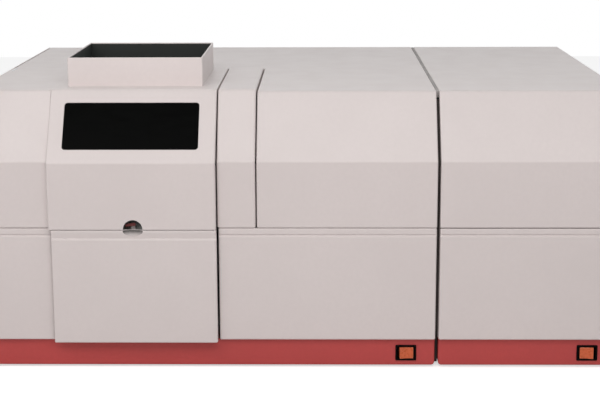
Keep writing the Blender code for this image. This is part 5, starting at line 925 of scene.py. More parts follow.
class SPECTRO_OT_side_panels(bpy.types.Operator):
    """Side panels flush below the covers' folded edges, their spacers, and two strips in the gap between the
    cabinets whose colours paint the gap's shade.
    """

    bl_idname = "spectro.side_panels"
    bl_label = "Side panels"

    def execute(self, context):
        places = (
            ("right_side_panel", MAIN_EDGE - SHEET), ("furnace_left_panel", FURNACE_EDGE),
            ("furnace_right_panel", RIGHT_EDGE - SHEET),
        )
        for name, x in places:
            outline = side_outline(12.5 * MM, corners(name)[0][2], BACK_Y)
            part = lengthwise(plate([outline], SHEET), x)
            piece(name + "_sheet", "cabinet", part, "enamel", [name])
        pads = []
        for y in (FRONT_Y + 90 * MM, BACK_Y - 90 * MM):
            for z in mm(137, 336.8):
                profile = mm((0, -0.5), (12, -0.5), (12, 4.1), (3, 4.1), (3, 2), (0, 2))
                radii = mm(0.3, 1, 0.4, 0.3)
                pads.append(turned(profile, radii, (MAIN_EDGE, y, z), "x", sides=36))
        piece("side_spacers", "cabinet", joined(pads), "rubber")
        # Strips set in the gap between the cabinets: the dark one at the front is painted shade, the grey one
        # under the top paints the gap's shade and its lit wall
        deep, wide, knee = FRONT_Y + 13 * MM, 8 * MM, FRONT_Y + SLOPE_RUN
        front_strip = [
            (FRONT_Y + 20 * MM, 5.5 * MM), (FRONT_Y + 20 * MM, 44 * MM), (deep, 60 * MM),
            (deep, BEVEL_Z - 4 * MM), (knee + 6 * MM, TOP_Z - 9 * MM), (knee + 6 * MM, TOP_Z - 20 * MM),
            (deep + wide, BEVEL_Z - 8 * MM), (deep + wide, 66 * MM), (FRONT_Y + 30 * MM, 50 * MM),
            (FRONT_Y + 30 * MM, 5.5 * MM),
        ]
        top_strip = [
            (knee + 6.2 * MM, TOP_Z - 12 * MM), (knee + 6.2 * MM, TOP_Z - 0.5 * MM),
            (BACK_Y - 2 * MM, TOP_Z - 0.5 * MM), (BACK_Y - 2 * MM, 20 * MM),
            (BACK_Y - 10 * MM, 20 * MM), (BACK_Y - 10 * MM, TOP_Z - 12 * MM),
        ]
        for name, line, finish in (("gap_shade_strip", front_strip, "gap shade dark"), ("gap_shade_cap", top_strip, "grey plastic and gap shade")):
            strip = plate([filleted(line[::-1], 1.5 * MM, 3)], 4.3 * MM, 0.5 * MM)
            part = lengthwise(strip, MAIN_EDGE + 0.15 * MM)
            piece(name, "cabinet", part, finish)
        return {"FINISHED"}


def panel_line(front, depth, bottom, top=WAIST_Z):
    """A lower panel as (Y, Z): bottom return, face and top return."""
    return [(front + depth, bottom), (front, bottom), (front, top), (front + depth, top)]


PANEL_RADII = mm(2.5, 1.6)


def groove_line(top, drop, floor=1.8 * MM, rise=0.5 * MM):
    """Depth of the pressed line below a panel's top, as heights and depths: a shoulder that slopes back
    2.1 mm over 2.4 mm, a floor, a way back of its own height, and a shallow band above it."""
    steps = np.array([-2.4 * MM, -2.1 * MM, -0.3 * MM, 0, floor, floor + rise])
    return np.append(top - drop + steps, top), mm(0, 0.15, 2.0, 2.1, 2.1, 0.5, 0.5)


def pressed(part, front, heights, depths):
    """The part's face moved back by the groove's depth at its height, fading out 3 mm behind the face."""
    points, faces = part
    points = np.array(points)
    near = np.clip(1 - (points[:, 1] - front) / (3 * MM), 0, 1)
    points[:, 1] += np.interp(points[:, 2], heights, depths, left=0.0) * near
    return points, faces


class SPECTRO_OT_lower_panels(bpy.types.Operator):
    """The three fixed lower front panels with the pressed line below their tops."""

    bl_idname = "spectro.lower_panels"
    bl_label = "Lower panels"

    def execute(self, context):
        for name in ("left_lower_panel", "main_lower_panel", "furnace_lower_panel"):
            low, high = corners(name)
            top = WAIST_Z - (0.5 * MM if name.startswith("furnace") else 0)
            line = panel_line(low[1], 24 * MM, low[2], top)
            heights, depths = groove_line(top, 11 * MM - WAIST_Z + top)
            part = folded_sheet(
                line, PANEL_RADII, low[0], high[0], mm(12, 12), mm(2.2, 2.2),
                marks={1: heights[:-1] - low[2]}, steps=6,
            )
            enamel_sheet(name, "cabinet", pressed(part, low[1], heights, depths))
        return {"FINISHED"}


PIVOT = mm(2, 414.8)
HOOD_LEFT = HOOD_LOW[0] + 3.5 * MM
LID_ARMS = (LID_LOW[0] + 7.4 * MM, -391.5 * MM)
HOOD_ARMS = mm(-372, -133.1)


def gooseneck_line():
    """Gooseneck arm's outline in (Y, Z) from its pivot: an inner arc of 25 mm, an 8 mm hub, an outer arc of
    35 mm and a tab under the sheet, clockwise."""
    steps = 16
    under, inner, outer, hub, leg = mm(14.25, 25, 35, 8, 10)
    a = np.linspace(math.pi - math.asin(under / inner), 1.5 * math.pi - math.asin(leg / 2 / inner), steps)
    inner_arc = np.stack([inner * np.cos(a), inner * np.sin(a)], 1)
    half = math.acos(leg / 2 / hub)
    a = np.linspace(math.pi + half, -half, 2 * steps)
    hub_arc = np.stack([hub * np.cos(a), hub * np.sin(a)], 1)
    a = np.linspace(1.5 * math.pi + math.asin(leg / 2 / outer), math.pi, steps)
    outer_arc = np.stack([outer * np.cos(a), outer * np.sin(a)], 1)
    tab = np.array([(-62 * MM, under - hub), (-62 * MM, under)])
    return np.vstack([inner_arc, hub_arc, outer_arc, tab])


def gooseneck_arm(x):
    """The arm as a slab in the YZ plane, its pivot hole shown by the stud's head that covers it."""
    return lengthwise(slab(gooseneck_line()[::-1] + PIVOT, 3 * MM), x)


class SPECTRO_OT_lid(bpy.types.Operator):
    """The lamp compartment's lid with its gooseneck arms."""

    bl_idname = "spectro.lid"
    bl_label = "Lamp lid"

    def execute(self, context):
        sheet = context.scene.spectro_sheet
        line = upper_line(FRONT_Y, LID_TOP_Z - 1 * MM, LID_BACK_Y - 1 * MM)
        part = folded_sheet(
            line, upper_radii(context), LID_LOW[0], HOOD_LEFT - 0.3 * MM, mm(12, 0), mm(3, 0),
            steps=sheet.bend_rows,
        )
        enamel_sheet("lamp_lid", "lamp_lid", part)
        arms = joined([gooseneck_arm(x) for x in LID_ARMS])
        piece("lamp_lid_arms", "lamp_lid", arms, "zinc plate")
        return {"FINISHED"}


WINDOW = (HOOD_LOW[0] + 26 * MM, HOOD_LOW[0] + 232.5 * MM, 22.4 * MM, 101.3 * MM)
WINDOW_CORNER = 5 * MM
CHIMNEY = (HOOD_LOW[0] + 24 * MM, HOOD_LOW[0] + 234 * MM, FRONT_Y + 92 * MM, FRONT_Y + 321 * MM)
NOTCH_X = (HOOD_LOW[0] + HOOD_HIGH[0]) / 2 + 3 * MM
NOTCH_RADIUS = 15 * MM


def hood_line():
    """The hood as (Y, Z), without a hem at its foot, where the finger notch is."""
    return [(PROUD_Y, WAIST_Z + 0.3 * MM)] + upper_line(PROUD_Y, LID_TOP_Z, LID_BACK_Y - 1 * MM)[2:]


def on_slope(points):
    """(x, up the slope, out of the sheet) to the frame, from the hood's lower bend line."""
    up = np.array([FRONT_Y + SLOPE_RUN - PROUD_Y, LID_TOP_Z - BEVEL_Z])
    up = up / np.linalg.norm(up)
    out = np.array([-up[1], up[0]])
    flat = np.array([PROUD_Y, BEVEL_Z]) + points[:, 1:2] * up + points[:, 2:3] * out
    return np.column_stack([points[:, 0], flat])


class SPECTRO_OT_hood(bpy.types.Operator):
    """The flame hood with its window opening, finger notch, pane and gooseneck arms."""

    bl_idname = "spectro.hood"
    bl_label = "Flame hood"

    def execute(self, context):
        sheet = context.scene.spectro_sheet
        line, radii = hood_line(), upper_radii(context)[1:]
        low_x, high_x, low_s, high_s = WINDOW
        box = rounded_box(low_x, high_x, low_s, high_s, WINDOW_CORNER)
        window = np.stack([box[:, 0], along_straight(line, radii, 1, box[:, 1])], 1)
        left, right, near, far = CHIMNEY
        top_start = FRONT_Y + SLOPE_RUN
        hole = rounded_box(left, right, near - top_start, far - top_start, 1.6 * MM, 2)
        chimney = np.stack([hole[:, 0], along_straight(line, radii, 2, hole[:, 1])], 1)
        a = np.linspace(0, math.pi, 17)
        arch = np.stack([NOTCH_X + NOTCH_RADIUS * np.cos(a), NOTCH_RADIUS * np.sin(a)], 1)
        notch = np.stack([arch[:, 0], along_straight(line, radii, 0, arch[:, 1])], 1)
        columns = np.concatenate([
            window_stops(low_x, high_x, WINDOW_CORNER), window_stops(left, right, 1.6 * MM, 2), arch[:, 0],
        ])
        marks = {
            0: arch[:, 1], 1: window_stops(low_s, high_s, WINDOW_CORNER),
            2: window_stops(near - top_start, far - top_start, 1.6 * MM, 2),
        }
        part = folded_sheet(
            line, radii, HOOD_LEFT, HOOD_HIGH[0], mm(14, 14), mm(1.7, 2.4), columns, marks,
            [window, chimney, notch], sheet.bend_rows,
        )
        enamel_sheet("flame_hood", "hood", part)
        arms = joined([gooseneck_arm(x) for x in HOOD_ARMS])
        piece("flame_hood_arms", "hood", arms, "zinc plate")
        lap = 8 * MM
        outline = rounded_box(low_x - lap, high_x + lap, low_s - lap, high_s + lap, WINDOW_CORNER)
        points, faces = slab(outline, 3 * MM, 0.5 * MM)
        points[:, 2] -= (1.5 + 0.3 + 3) * MM
        piece("hood_pane", "hood", (on_slope(points), faces), "smoked pane", ["hood_window"])
        return {"FINISHED"}


class SPECTRO_OT_collar(bpy.types.Operator):
    """The open sheet-metal chimney collar with its hemmed rim, and the dark lining inside it."""

    bl_idname = "spectro.collar"
    bl_label = "Chimney collar"

    def execute(self, context):
        sheet = context.scene.spectro_sheet
        left, right, near, far = CHIMNEY
        under, top = LID_TOP_Z - 1.8 * MM, corners("chimney_collar")[1][2]
        section = [(10 * MM, under), (0, under), (0, top), (-2.3 * MM, top), (-2.3 * MM, top - 1.6 * MM)]
        part = banded(ring_section((left, near), (right, far), 1.6 * MM, section, mm(0.8, 1.1, 0.6)))
        piece(
            "chimney_collar_sheet", "hood", part, "lit collar enamel", ["chimney_collar"], 1.1 * MM, sheet.edge,
            inner="collar lining",
        )
        section = [(-1.5 * MM, top - 1.1 * MM), (-2.5 * MM, top - 1.7 * MM), (-2.5 * MM, under - 0.4 * MM)]
        part = banded(ring_section((left, near), (right, far), 2.6 * MM, section, mm(0.3)))
        piece("chimney_lining", "hood", part, "collar lining", (), 0.8 * MM, 0.2 * MM)
        return {"FINISHED"}


def dished(x, z, top, scoop, reach):
    """Depth of the finger scoop: 6.5 mm times (1 - s^2)^0.7 across it and t^0.8 up it."""
    across = np.clip(1 - ((x - NOTCH_X) / reach) ** 2, 0, 1)
    up = np.clip((z - (top - scoop * np.sqrt(across))) / scoop, 0, 1)
    return 6.5 * MM * across ** 0.7 * up ** 0.8


class SPECTRO_OT_door(bpy.types.Operator):
    """The proud burner door: its pressed line, and the shallow scoop under the hood's finger notch."""

    bl_idname = "spectro.door"
    bl_label = "Burner door"

    def execute(self, context):
        top = WAIST_Z - 0.9 * MM
        line = panel_line(PROUD_Y, 9 * MM, DOOR_LOW[2], top)
        heights, depths = groove_line(top, 12.9 * MM, 0.3 * MM, 8.5 * MM)
        scoop, reach = mm(9, 16)
        rise = top - scoop * np.linspace(1, 0, 9)[:-1]
        ends = (TAB_Z[:, None] + mm(-10, 10)).ravel() - DOOR_LOW[2]
        near, far = DOOR_LOW[0] - 1, DOOR_LOW[0] - 1.9 * MM
        notches = []
        for low_q, high_q in along_straight(line, PANEL_RADII, 1, ends).reshape(2, 2):
            notches.append(np.array([(near, low_q), (far, low_q), (far, high_q), (near, high_q)]))
        part = folded_sheet(
            line, PANEL_RADII, DOOR_LOW[0], DOOR_HIGH[0], mm(6.8, 6.8), mm(1.7, 2.4),
            columns=NOTCH_X + np.linspace(-reach, reach, 17),
            marks={1: np.concatenate([heights[:-1] - DOOR_LOW[2], rise - DOOR_LOW[2], ends])},
            openings=notches, steps=6,
        )
        points, faces = pressed(part, PROUD_Y, heights, depths)
        back = np.clip(1 - (points[:, 1] - PROUD_Y) / (8.5 * MM), 0, 1)
        points[:, 1] += dished(points[:, 0], points[:, 2], top, scoop, reach) * back
        enamel_sheet("burner_door", "door", (points, faces))
        # A thin sheet laid over the scoop to carry its painted shade: dark under the seam, lighter lower down
        s, t = np.meshgrid(np.linspace(-0.94, 0.94, 25), np.linspace(0, 1, 9))
        x = NOTCH_X + reach * s
        z = top - 0.1 * MM - 0.92 * scoop * np.sqrt(1 - s * s) * (1 - t)
        cup = np.stack([x, PROUD_Y + 0.15 * MM + 0.9 * dished(x, z, top, scoop, reach), z], -1).reshape(-1, 3)
        part = (cup, grid_faces(s[0], t[:, 0]))
        piece("finger_cup_painted_shade", "door", part, "finger cup painted shade", (), 0.1 * MM)
        hinges = []
        for z in TAB_Z:
            for low_z in (z + 4.3 * MM, z - 6.3 * MM):
                left, right = DOOR_PIN[0] + mm(-2, 5)
                near, far = PROUD_Y + 1.2 * MM, FRONT_Y - 2 * MM
                ear = filleted([(left, near), (right, near), (right, far), (left, far)], 1 * MM, 3)
                hinges.append(moved(slab(ear, 2 * MM, 0.3 * MM), (0, 0, low_z)))
            hinges.append(rod(1.4 * MM, 16.6 * MM, (*DOOR_PIN, z - 8.3 * MM), "z", 20))
        piece("door_hinges", "door", joined(hinges), "steel")
        return {"FINISHED"}


BEZELS = ("main_switch_bezel", "furnace_switch_bezel")


class SPECTRO_OT_trays(bpy.types.Operator):
    """The red base trays on rubber feet: rings of folded sheet with the switch's cut-out in the front."""

    bl_idname = "spectro.trays"
    bl_label = "Base trays"

    def execute(self, context):
        sheet = context.scene.spectro_sheet
        for name, bezel in zip(("base_tray", "furnace_base_tray"), BEZELS):
            low, high = corners(name)
            middle_x, middle_z = centre_of(bezel)
            half_x, half_z = mm(15.1, 11.3)
            foot, ledge, belly = mm(4, 20, 5)
            section = [
                (-40 * MM, foot), (0, foot), (0, middle_z - half_z), (0, middle_z + half_z),
                (0, BASE_TOP), (-ledge, BASE_TOP),
            ]
            radii = (2.5 * MM, LEAST, LEAST, 1 * MM)
            near = 2.2 * MM + arc_stops(belly, 7)
            opening = [middle_x - half_x, middle_x + half_x]
            marks = np.concatenate([low[0] + near, opening, (high[0] - near)[::-1]])
            grid = ring_section(low[:2], high[:2], 2 * MM, section, radii, marks=marks)
            points, faces = banded(grid)
            side = np.minimum(points[:, 0] - low[0], high[0] - points[:, 0])
            lack = np.clip(belly - side, 0, 0.94 * belly)
            lift = belly - np.sqrt(belly ** 2 - lack ** 2)
            points[:, 2] += lift * np.clip(1 - (points[:, 2] - foot) / (9 * MM), 0, 1)
            centres = points[np.array(faces)].mean(1)
            cut = (
                (np.abs(centres[:, 0] - middle_x) < half_x) & (np.abs(centres[:, 2] - middle_z) < half_z)
                & (centres[:, 1] < low[1] + 1 * MM)
            )
            faces = [face for face, gone in zip(faces, cut) if not gone]
            faces.append(list(range(grid.shape[1]))[::-1])
            piece(name + "_sheet", "cabinet", (points, faces), "red enamel", [name], 2 * MM, sheet.edge)
            feet = []
            for x in (low[0] + 55 * MM, high[0] - 55 * MM):
                for y in (low[1] + 55 * MM, high[1] - 55 * MM):
                    profile = mm((0, 0), (13, 0), (15, 5), (0, 5))
                    feet.append(turned(profile, mm(1.2, 0.6), (x, y, 0), sides=32))
            piece(name + "_feet", "cabinet", joined(feet), "rubber")
        return {"FINISHED"}


ROCKER_Y = -345.38 * MM


class SPECTRO_OT_switches(bpy.types.Operator):
    """The two rocker switches: a moulded frame, and an orange rocker with its two faces dished together."""

    bl_idname = "spectro.switches"
    bl_label = "Rocker switches"

    def execute(self, context):
        for side, cabinet, bezel in zip((1, -1), ("main", "furnace"), BEZELS):
            x, z = centre_of(bezel)
            front = corners(bezel)[0][1]
            section = mm((0, 2.2), (0, 0.9), (-1.5, 0), (-3, 0.3), (-3, 12))
            grid = ring_section(
                (x - 16.1 * MM, z - 12.4 * MM), (x + 16.1 * MM, z + 12.4 * MM), 1.6 * MM, section,
                mm(0.4, 0.8, 0.3), steps=4,
            )
            part = banded(np.stack([grid[..., 0], grid[..., 2] + front, grid[..., 1]], -1))
            name = cabinet + "_switch_frame"
            piece(name, "cabinet", part, "switch black", [bezel], 1.4 * MM, 0.2 * MM)
            half, depth, dip = mm(10.4, 8, 1.3)
            a = np.linspace(-1, 1, 25)
            face = np.stack([a * half, -depth + dip * (1 - np.abs(a) ** 1.25)], 1)
            back = np.array([(half, 0), (half / 2, 3 * MM), (-half / 2, 3 * MM), (-half, 0)])
            outline = np.vstack([face, back])
            points, faces = slab(outline, 17.9 * MM, 0.8 * MM)
            points[:, 2] -= 8.95 * MM
            part = moved((points, faces), (x, ROCKER_Y, z), turned_in_plane(7.5 * side))
            piece(cabinet + "_rocker_lens", cabinet + "_rocker", part, "orange lens", [cabinet + "_rocker"])
        return {"FINISHED"}


class SPECTRO_OT_latch(bpy.types.Operator):
    """The door's red latch tongue, which reaches up behind the finger notch, on its bracket."""

    bl_idname = "spectro.latch"
    bl_label = "Latch"

    def execute(self, context):
        tongue = filleted(mm((-8, -2), (8, -2.5), (8, 2.5), (-8, 2.2)), 1.4 * MM)
        part = moved(slab(tongue, 3 * MM, 0.6 * MM), turn=AXES["-y"] @ turned_in_plane(9))
        origin = np.array([NOTCH_X, PROUD_Y, WAIST_Z])
        piece("latch_tongue", "door", moved(part, origin + mm(-5, 14, 5.5)), "latch red")
        post = filleted(mm((-4, 0), (4, 0), (3, 8), (-3, 8)), 1 * MM)
        post = moved(slab(post, 2.4 * MM, 0.5 * MM), origin + mm(-1, 16.4, -3), AXES["-y"])
        foot = slab(rounded_box(*mm(-6, 4, 6.8, 16.4, 1), 3), 2.2 * MM, 0.4 * MM)
        foot = moved(foot, origin - mm(0, 0, 4.6))
        piece("latch_post", "door", joined([post, foot]), "grey plastic and gap shade")
        return {"FINISHED"}


# Pieces inside, seen with the hood, lid or door open
BURNER_X = corners("burner_head")[0][0] + 60 * MM
BURNER_Y = corners("burner_head")[0][1] + 18 * MM
CHAMBER_LOW, CHAMBER_HIGH = corners("spray_chamber")
CHAMBER_Z = CHAMBER_LOW[2] + 37 * MM
LAMP_FRONT = FRONT_Y + 34 * MM
LAMP_NAMES = [f"cathode_lamp_{index + 1}" for index in range(4)]
TAB_SHARES = np.array([0.16, 0.84])
TAB_Z = BASE_TOP + (WAIST_Z - BASE_TOP) * TAB_SHARES
DOOR_PIN = np.array([DOOR_LOW[0] + 6.5 * MM, PROUD_Y + 5.5 * MM])


def rod(radius, length, base, axis="z", sides=32, edge=0.3 * MM):
    """A round bar with softened ends."""
    return turned([(0, 0), (radius, 0), (radius, length), (0, length)], (edge, edge), base, axis, sides, 2, 0)


def knurled(profile, radii, base, axis, count, depth):
    """A turned part whose rim is cut by flutes, depth d in millimetres: r less d (1 - cos nt) / 2 over the
    outer tenth of its radius."""
    points, faces = turned(profile, radii, (0, 0, 0), "z", count * 6, 3, 0)
    out = np.hypot(points[:, 0], points[:, 1])
    rim = np.clip((out / out.max() - 0.86) / 0.1, 0, 1)
    cut = depth * MM * (1 - np.cos(count * np.arctan2(points[:, 1], points[:, 0]))) / 2 * rim
    points[:, :2] *= ((out - cut) / np.maximum(out, LEAST))[:, None]
    return moved((points, faces), base, AXES[axis])


def lamp_parts(x, z):
    """A hollow-cathode lamp's glass with its waist, its ribbed base, and its two pins."""
    glass = mm((0, 33), (17, 33), (17, 100.8), (10.2, 112), (10.2, 140), (0, 140))
    bulb = turned(glass, mm(0.4, 5, 5, 1.5), (x, LAMP_FRONT, z), "y", 48, 6)
    base = mm((0, 0), (18, 0), (18, 26), (17.2, 27), (17.2, 30), (18, 31), (18, 34), (0, 34))
    radii = mm(1.6, 0.2, 0.2, 0.2, 0.2, 0.8)
    socket = turned(base, radii, (x, LAMP_FRONT, z), "y", 48, 3)
    pins = [rod(1.4 * MM, 8 * MM, (x + side * 8.5 * MM, LAMP_FRONT - 7 * MM, z), "y", 16) for side in (-1, 1)]
    return bulb, socket, pins


class SPECTRO_OT_lamps(bpy.types.Operator):
    """The four hollow-cathode lamps and the turret that carries them on two drilled discs."""

    bl_idname = "spectro.lamps"
    bl_label = "Lamp turret"

    def execute(self, context):
        low, high = corners("lamp_turret")
        (axis_x, axis_z), rim = centre_of("lamp_turret"), (high[0] - low[0]) / 2
        bases, pins, holes = [], [], []
        for name in LAMP_NAMES:
            x, z = centre_of(name)
            bulb, socket, more = lamp_parts(x, z)
            piece(name + "_bulb", "turret", bulb, "lamp glass", [name])
            bases.append(socket)
            pins += more
            holes.append(circle((x, z), 17.6 * MM, 48))
        piece("lamp_bases", "turret", joined(bases), "black plastic")
        piece("lamp_pins", "turret", joined(pins), "brass")
        outer = circle((axis_x, axis_z), rim, 96, clockwise=False)
        parts = [rod(5 * MM, high[1] - LAMP_FRONT, (axis_x, LAMP_FRONT, axis_z), "y", 32, 0.8 * MM)]
        base, bulb = mm(34, 106)
        for share in (0.36, 0.72):
            middle = LAMP_FRONT + base + bulb * share
            parts.append(standing(plate([outer, *holes], 5 * MM, 0.6 * MM), middle + 2.5 * MM))
        piece("lamp_turret_discs", "turret", joined(parts), "aluminium", ["lamp_turret"])
        return {"FINISHED"}


class SPECTRO_OT_atomiser(bpy.types.Operator):
    """Burner head, spray chamber, nebulizer with its nut, the cross knob and the height wheel."""

    bl_idname = "spectro.atomiser"
    bl_label = "Atomiser"

    def execute(self, context):
        low, high = corners("burner_head")
        foot, end, slot, slot_depth = low[2] + 24 * MM, 9.6 * MM, 0.6 * MM, 8 * MM
        half = mm(10.5, 15, 15, 7.5)
        level = foot + (high[2] - foot) * np.array([0, 0.3, 0.7, 1])
        right, left = (np.stack([BURNER_Y + side * half, level], 1) for side in (1, -1))
        cut = high[2] - slot_depth * np.array([0, 1, 1, 0])
        notch = np.stack([BURNER_Y + slot * np.array([1, 1, -1, -1]), cut], 1)
        plain = filleted(np.vstack([left[:1], right, left[:0:-1]]), mm(2, 2, 3, 3, 1.2, 1.2, 3, 3), 4)
        radii = mm(2, 2, 3, 3, 1.2, 0.3, 0.2, 0.2, 0.3, 1.2, 3, 3)
        slotted = filleted(np.vstack([left[:1], right, notch, left[:0:-1]]), radii, 4)
        line = mm((0, 0), (18, 0), (18, 9), (0, 9))
        ring = knurled(line, mm(0.6, 0.6), (BURNER_X, BURNER_Y, foot - 7.7 * MM), "z", 24, 0.5)
        head = [
            lengthwise(slab(plain, end, 0.3 * MM), low[0]),
            lengthwise(slab(plain, end, 0.3 * MM), high[0] - end),
            lengthwise(slab(slotted, high[0] - low[0] - 2 * end, 0.05 * MM), low[0] + end),
            rod(10 * MM, 24.5 * MM, (BURNER_X, BURNER_Y, low[2]), "z", 40, 0.8 * MM), ring,
        ]
        piece("burner_head_body", "burner_head", joined(head), "titanium", ["burner_head"])
        length, neck = CHAMBER_HIGH[1] - CHAMBER_LOW[1], CHAMBER_HIGH[2] - CHAMBER_Z
        line = [
            *mm((0, 6), (9.3, 6), (9.3, 0), (33, 0), (33, 9), (28, 9)),
            (28 * MM, length - 9 * MM), (20.2 * MM, length), (0, length),
        ]
        socket = [
            *mm((0, 20), (14, 20)), (14 * MM, neck), (10.3 * MM, neck), (10.3 * MM, neck - 17 * MM),
            (0, neck - 17 * MM),
        ]
        chamber = [
            turned(line, mm(0.3, 0.5, 1.5, 1, 1.2, 6, 3), (BURNER_X, CHAMBER_LOW[1], CHAMBER_Z), "y", 72, 6),
            turned(socket, mm(0.2, 1, 0.4, 0.2), (BURNER_X, BURNER_Y, CHAMBER_Z), "z", 48, 3),
            rod(7 * MM, 14 * MM, (BURNER_X, CHAMBER_HIGH[1] - 12 * MM, CHAMBER_LOW[2]), "z", 32, 0.8 * MM),
        ]
        piece("spray_chamber_body", "atomiser", joined(chamber), "white plastic", ["spray_chamber"])
        tip = CHAMBER_LOW[1] - 34 * MM
        line = mm(
            (0, 0), (3, 0), (3, 15.3), (7.2, 15.3), (7.2, 23.8), (11.7, 23.8), (11.7, 33.7), (9, 33.7),
            (9, 38.5), (0, 38.5),
        )
        radii = mm(0.5, 0.3, 0.5, 0.4, 0.8, 0.8, 0.3, 0.4)
        barrel = turned(line, radii, (BURNER_X, tip, CHAMBER_Z), "y", 48, 3)
        arm = rod(3 * MM, 28 * MM, (BURNER_X - 28 * MM, tip + 28.9 * MM, CHAMBER_Z), "x", 24, 0.5 * MM)
        piece("nebulizer_body", "atomiser", joined([barrel, arm]), "titanium", ["nebulizer"])
        line = mm((3.3, 7), (3.3, 0), (4.8, 0), (8, 4.5), (8, 15), (3.3, 15), (3.3, 7))
        nut = knurled(line, mm(0.3, 0.5, 0.8, 0.6, 0.3), (BURNER_X, tip, CHAMBER_Z), "y", 24, 0.4)
        piece("nebulizer_nut_body", "nebulizer_nut", nut, "brass", ["nebulizer_nut"])
        low, high = corners("cross_knob")
        x, z = centre_of("cross_knob")
        line = mm((0, 0), (9.6, 0), (12, 3.5), (12, 14), (0, 14))
        knob = knurled(line, mm(1, 0.8, 0.8), (x, low[1], z), "y", 16, 0.9)
        piece("cross_knob_body", "cross_knob", knob, "black plastic", ["cross_knob"])
        screw_rod = rod(3 * MM, high[1] - low[1] - 7 * MM, (x, low[1] + 7 * MM, z), "y", 24)
        piece("cross_knob_screw", "cross_knob", screw_rod, "steel")
        low, high = corners("height_screw")
        x, y = ((low + high) / 2)[:2]
        line = mm((0, 0), (20.7, 0), (20.7, 11), (0, 11))
        wheel = knurled(line, mm(1.2, 1.2), (x, y, low[2] + 10.7 * MM), "z", 24, 1.2)
        thread = rod(5 * MM, high[2] - low[2], (x, y, low[2]), "z", 32, 0.6 * MM)
        piece("height_wheel", "height_screw", joined([wheel, thread]), "steel", ["height_screw"])
        return {"FINISHED"}


FAN_OPENING = 43 * MM


def box_outline(centre, size, radius=1 * MM, hole=True):
    """A rounded rectangle about a centre, clockwise where it is a hole."""
    half_u, half_v = np.array(size) / 2
    line = np.array(centre) + rounded_box(-half_u, half_u, -half_v, half_v, radius, 3)
    return line[::-1] if hole else line


class SPECTRO_OT_rear_panels(bpy.types.Operator):
    """The rear panels with their fan openings, vents and cut-outs, wire guards and screws."""

    bl_idname = "spectro.rear_panels"
    bl_label = "Rear panels"

    def execute(self, context):
        screws, guards = [], []
        for name, fan in (("rear_panel", "main_fan_frame"), ("furnace_rear_panel", "furnace_fan_frame")):
            low, high = corners(name)
            fan = centre_of(fan)
            step = 12 * MM
            outline = filleted([
                (low[0], low[2]), (high[0], low[2]), (high[0], high[2] - step),
                (high[0] - step, high[2] - step), (high[0] - step, high[2]), (low[0] + step, high[2]),
                (low[0] + step, high[2] - step), (low[0], high[2] - step),
            ], 0.8 * MM, 3)
            holes = [circle(fan, FAN_OPENING, 64)]
            if name == "rear_panel":
                holes.append(box_outline(centre_of("main_power_inlet"), mm(28.1, 20.6)))
                holes += [circle((x, PORT_Z), 8.3 * MM, 24) for x in PORT_X]
                middle = (low[0] + high[0]) / 2
                slots = [(middle, fan[1] + 11 * MM * row) for row in range(6)]
                holes += [box_outline(spot, mm(46, 3.6), 1.7 * MM) for spot in slots]
            else:
                holes.append(box_outline(centre_of("furnace_power_inlet"), mm(28.1, 20.6)))
                holes += [circle((x, TERMINAL_Z), 9 * MM, 28) for x in TERMINAL_X]
            part = standing(plate([outline, *holes], SHEET), high[1])
            piece(name + "_sheet", "cabinet", part, "enamel", [name])
            for x in np.linspace(low[0] + 22 * MM, high[0] - 22 * MM, 5 if name == "rear_panel" else 3):
                for z in (low[2] + 9 * MM, high[2] - 8 * MM):
                    screws.append(screw((x, high[1], z)))
            wire_y = high[1] + 0.85 * MM
            for ring in range(5):
                guards.append(wire_ring((fan[0], wire_y, fan[1]), (7 + 8.6 * ring) * MM, 0.75 * MM))
            for leg in range(4):
                turn = math.pi / 4 + leg * math.pi / 2
                way = np.array([math.cos(turn), 0, math.sin(turn)])
                start, end = mm(6.5, 56)
                middle = np.array([fan[0], wire_y - 0.1 * MM, fan[1]])
                path = middle + way * np.linspace(start, end, 12)[:, None]
                guards.append(tube(path, 0.75 * MM, (0, 1, 0), 8))
                corner = np.array([fan[0], high[1] + 0.2 * MM, fan[1]]) + way * 58.7 * MM
                guards.append(wire_ring((corner[0], wire_y, corner[2]), 3.2 * MM, 0.75 * MM, 20))
                screws.append(screw(corner, 2.9 * MM, 1.5 * MM))
        piece("fan_guards", "cabinet", joined(guards), "steel")
        piece("rear_screws", "cabinet", joined(screws), "steel")
        return {"FINISHED"}


PORT_X = LID_LOW[0] - 2.1 * MM + (120 + 45 * np.arange(3)) * MM
PORT_Z = 287 * MM
TERMINAL_X = (FURNACE_EDGE + RIGHT_EDGE) / 2 + np.array([-25, 25]) * MM
TERMINAL_Z = 287 * MM


def power_inlet(centre, front):
    """A three-pin inlet: rounded flange, hollow body with two cut corners, floor and pins."""
    x, z = centre
    half_x, half_z = mm(11.5, 7.75)
    cavity = [
        (x - half_x, z - half_z), (x + half_x, z - half_z), (x + half_x, z),
        (x + half_x - half_z, z + half_z), (x - half_x + half_z, z + half_z), (x - half_x, z),
    ]
    hole = filleted(cavity, 0.8 * MM, 3)
    flange = box_outline(centre, mm(31, 24.5), 2.6 * MM, False)
    body = box_outline(centre, mm(27.2, 19.6), 1 * MM, False)
    parts = [
        standing(plate([flange, hole[::-1]], 2.1 * MM, 0.6 * MM), front),
        standing(plate([body, hole[::-1]], 16 * MM, 0.3 * MM), front - 2 * MM),
        standing(plate([body], 6 * MM, 0.5 * MM), front - 17.8 * MM),
    ]
    pins = []
    for side in (-1, 0, 1):
        spot = (x + side * 7 * MM, z + (0 if side else 2 * MM))
        pin = box_outline(spot, mm(2, 4), 0.5 * MM, False)
        pins.append(standing(plate([pin], 12 * MM, 0.35 * MM), front - 5.8 * MM))
    return joined(parts), joined(pins)


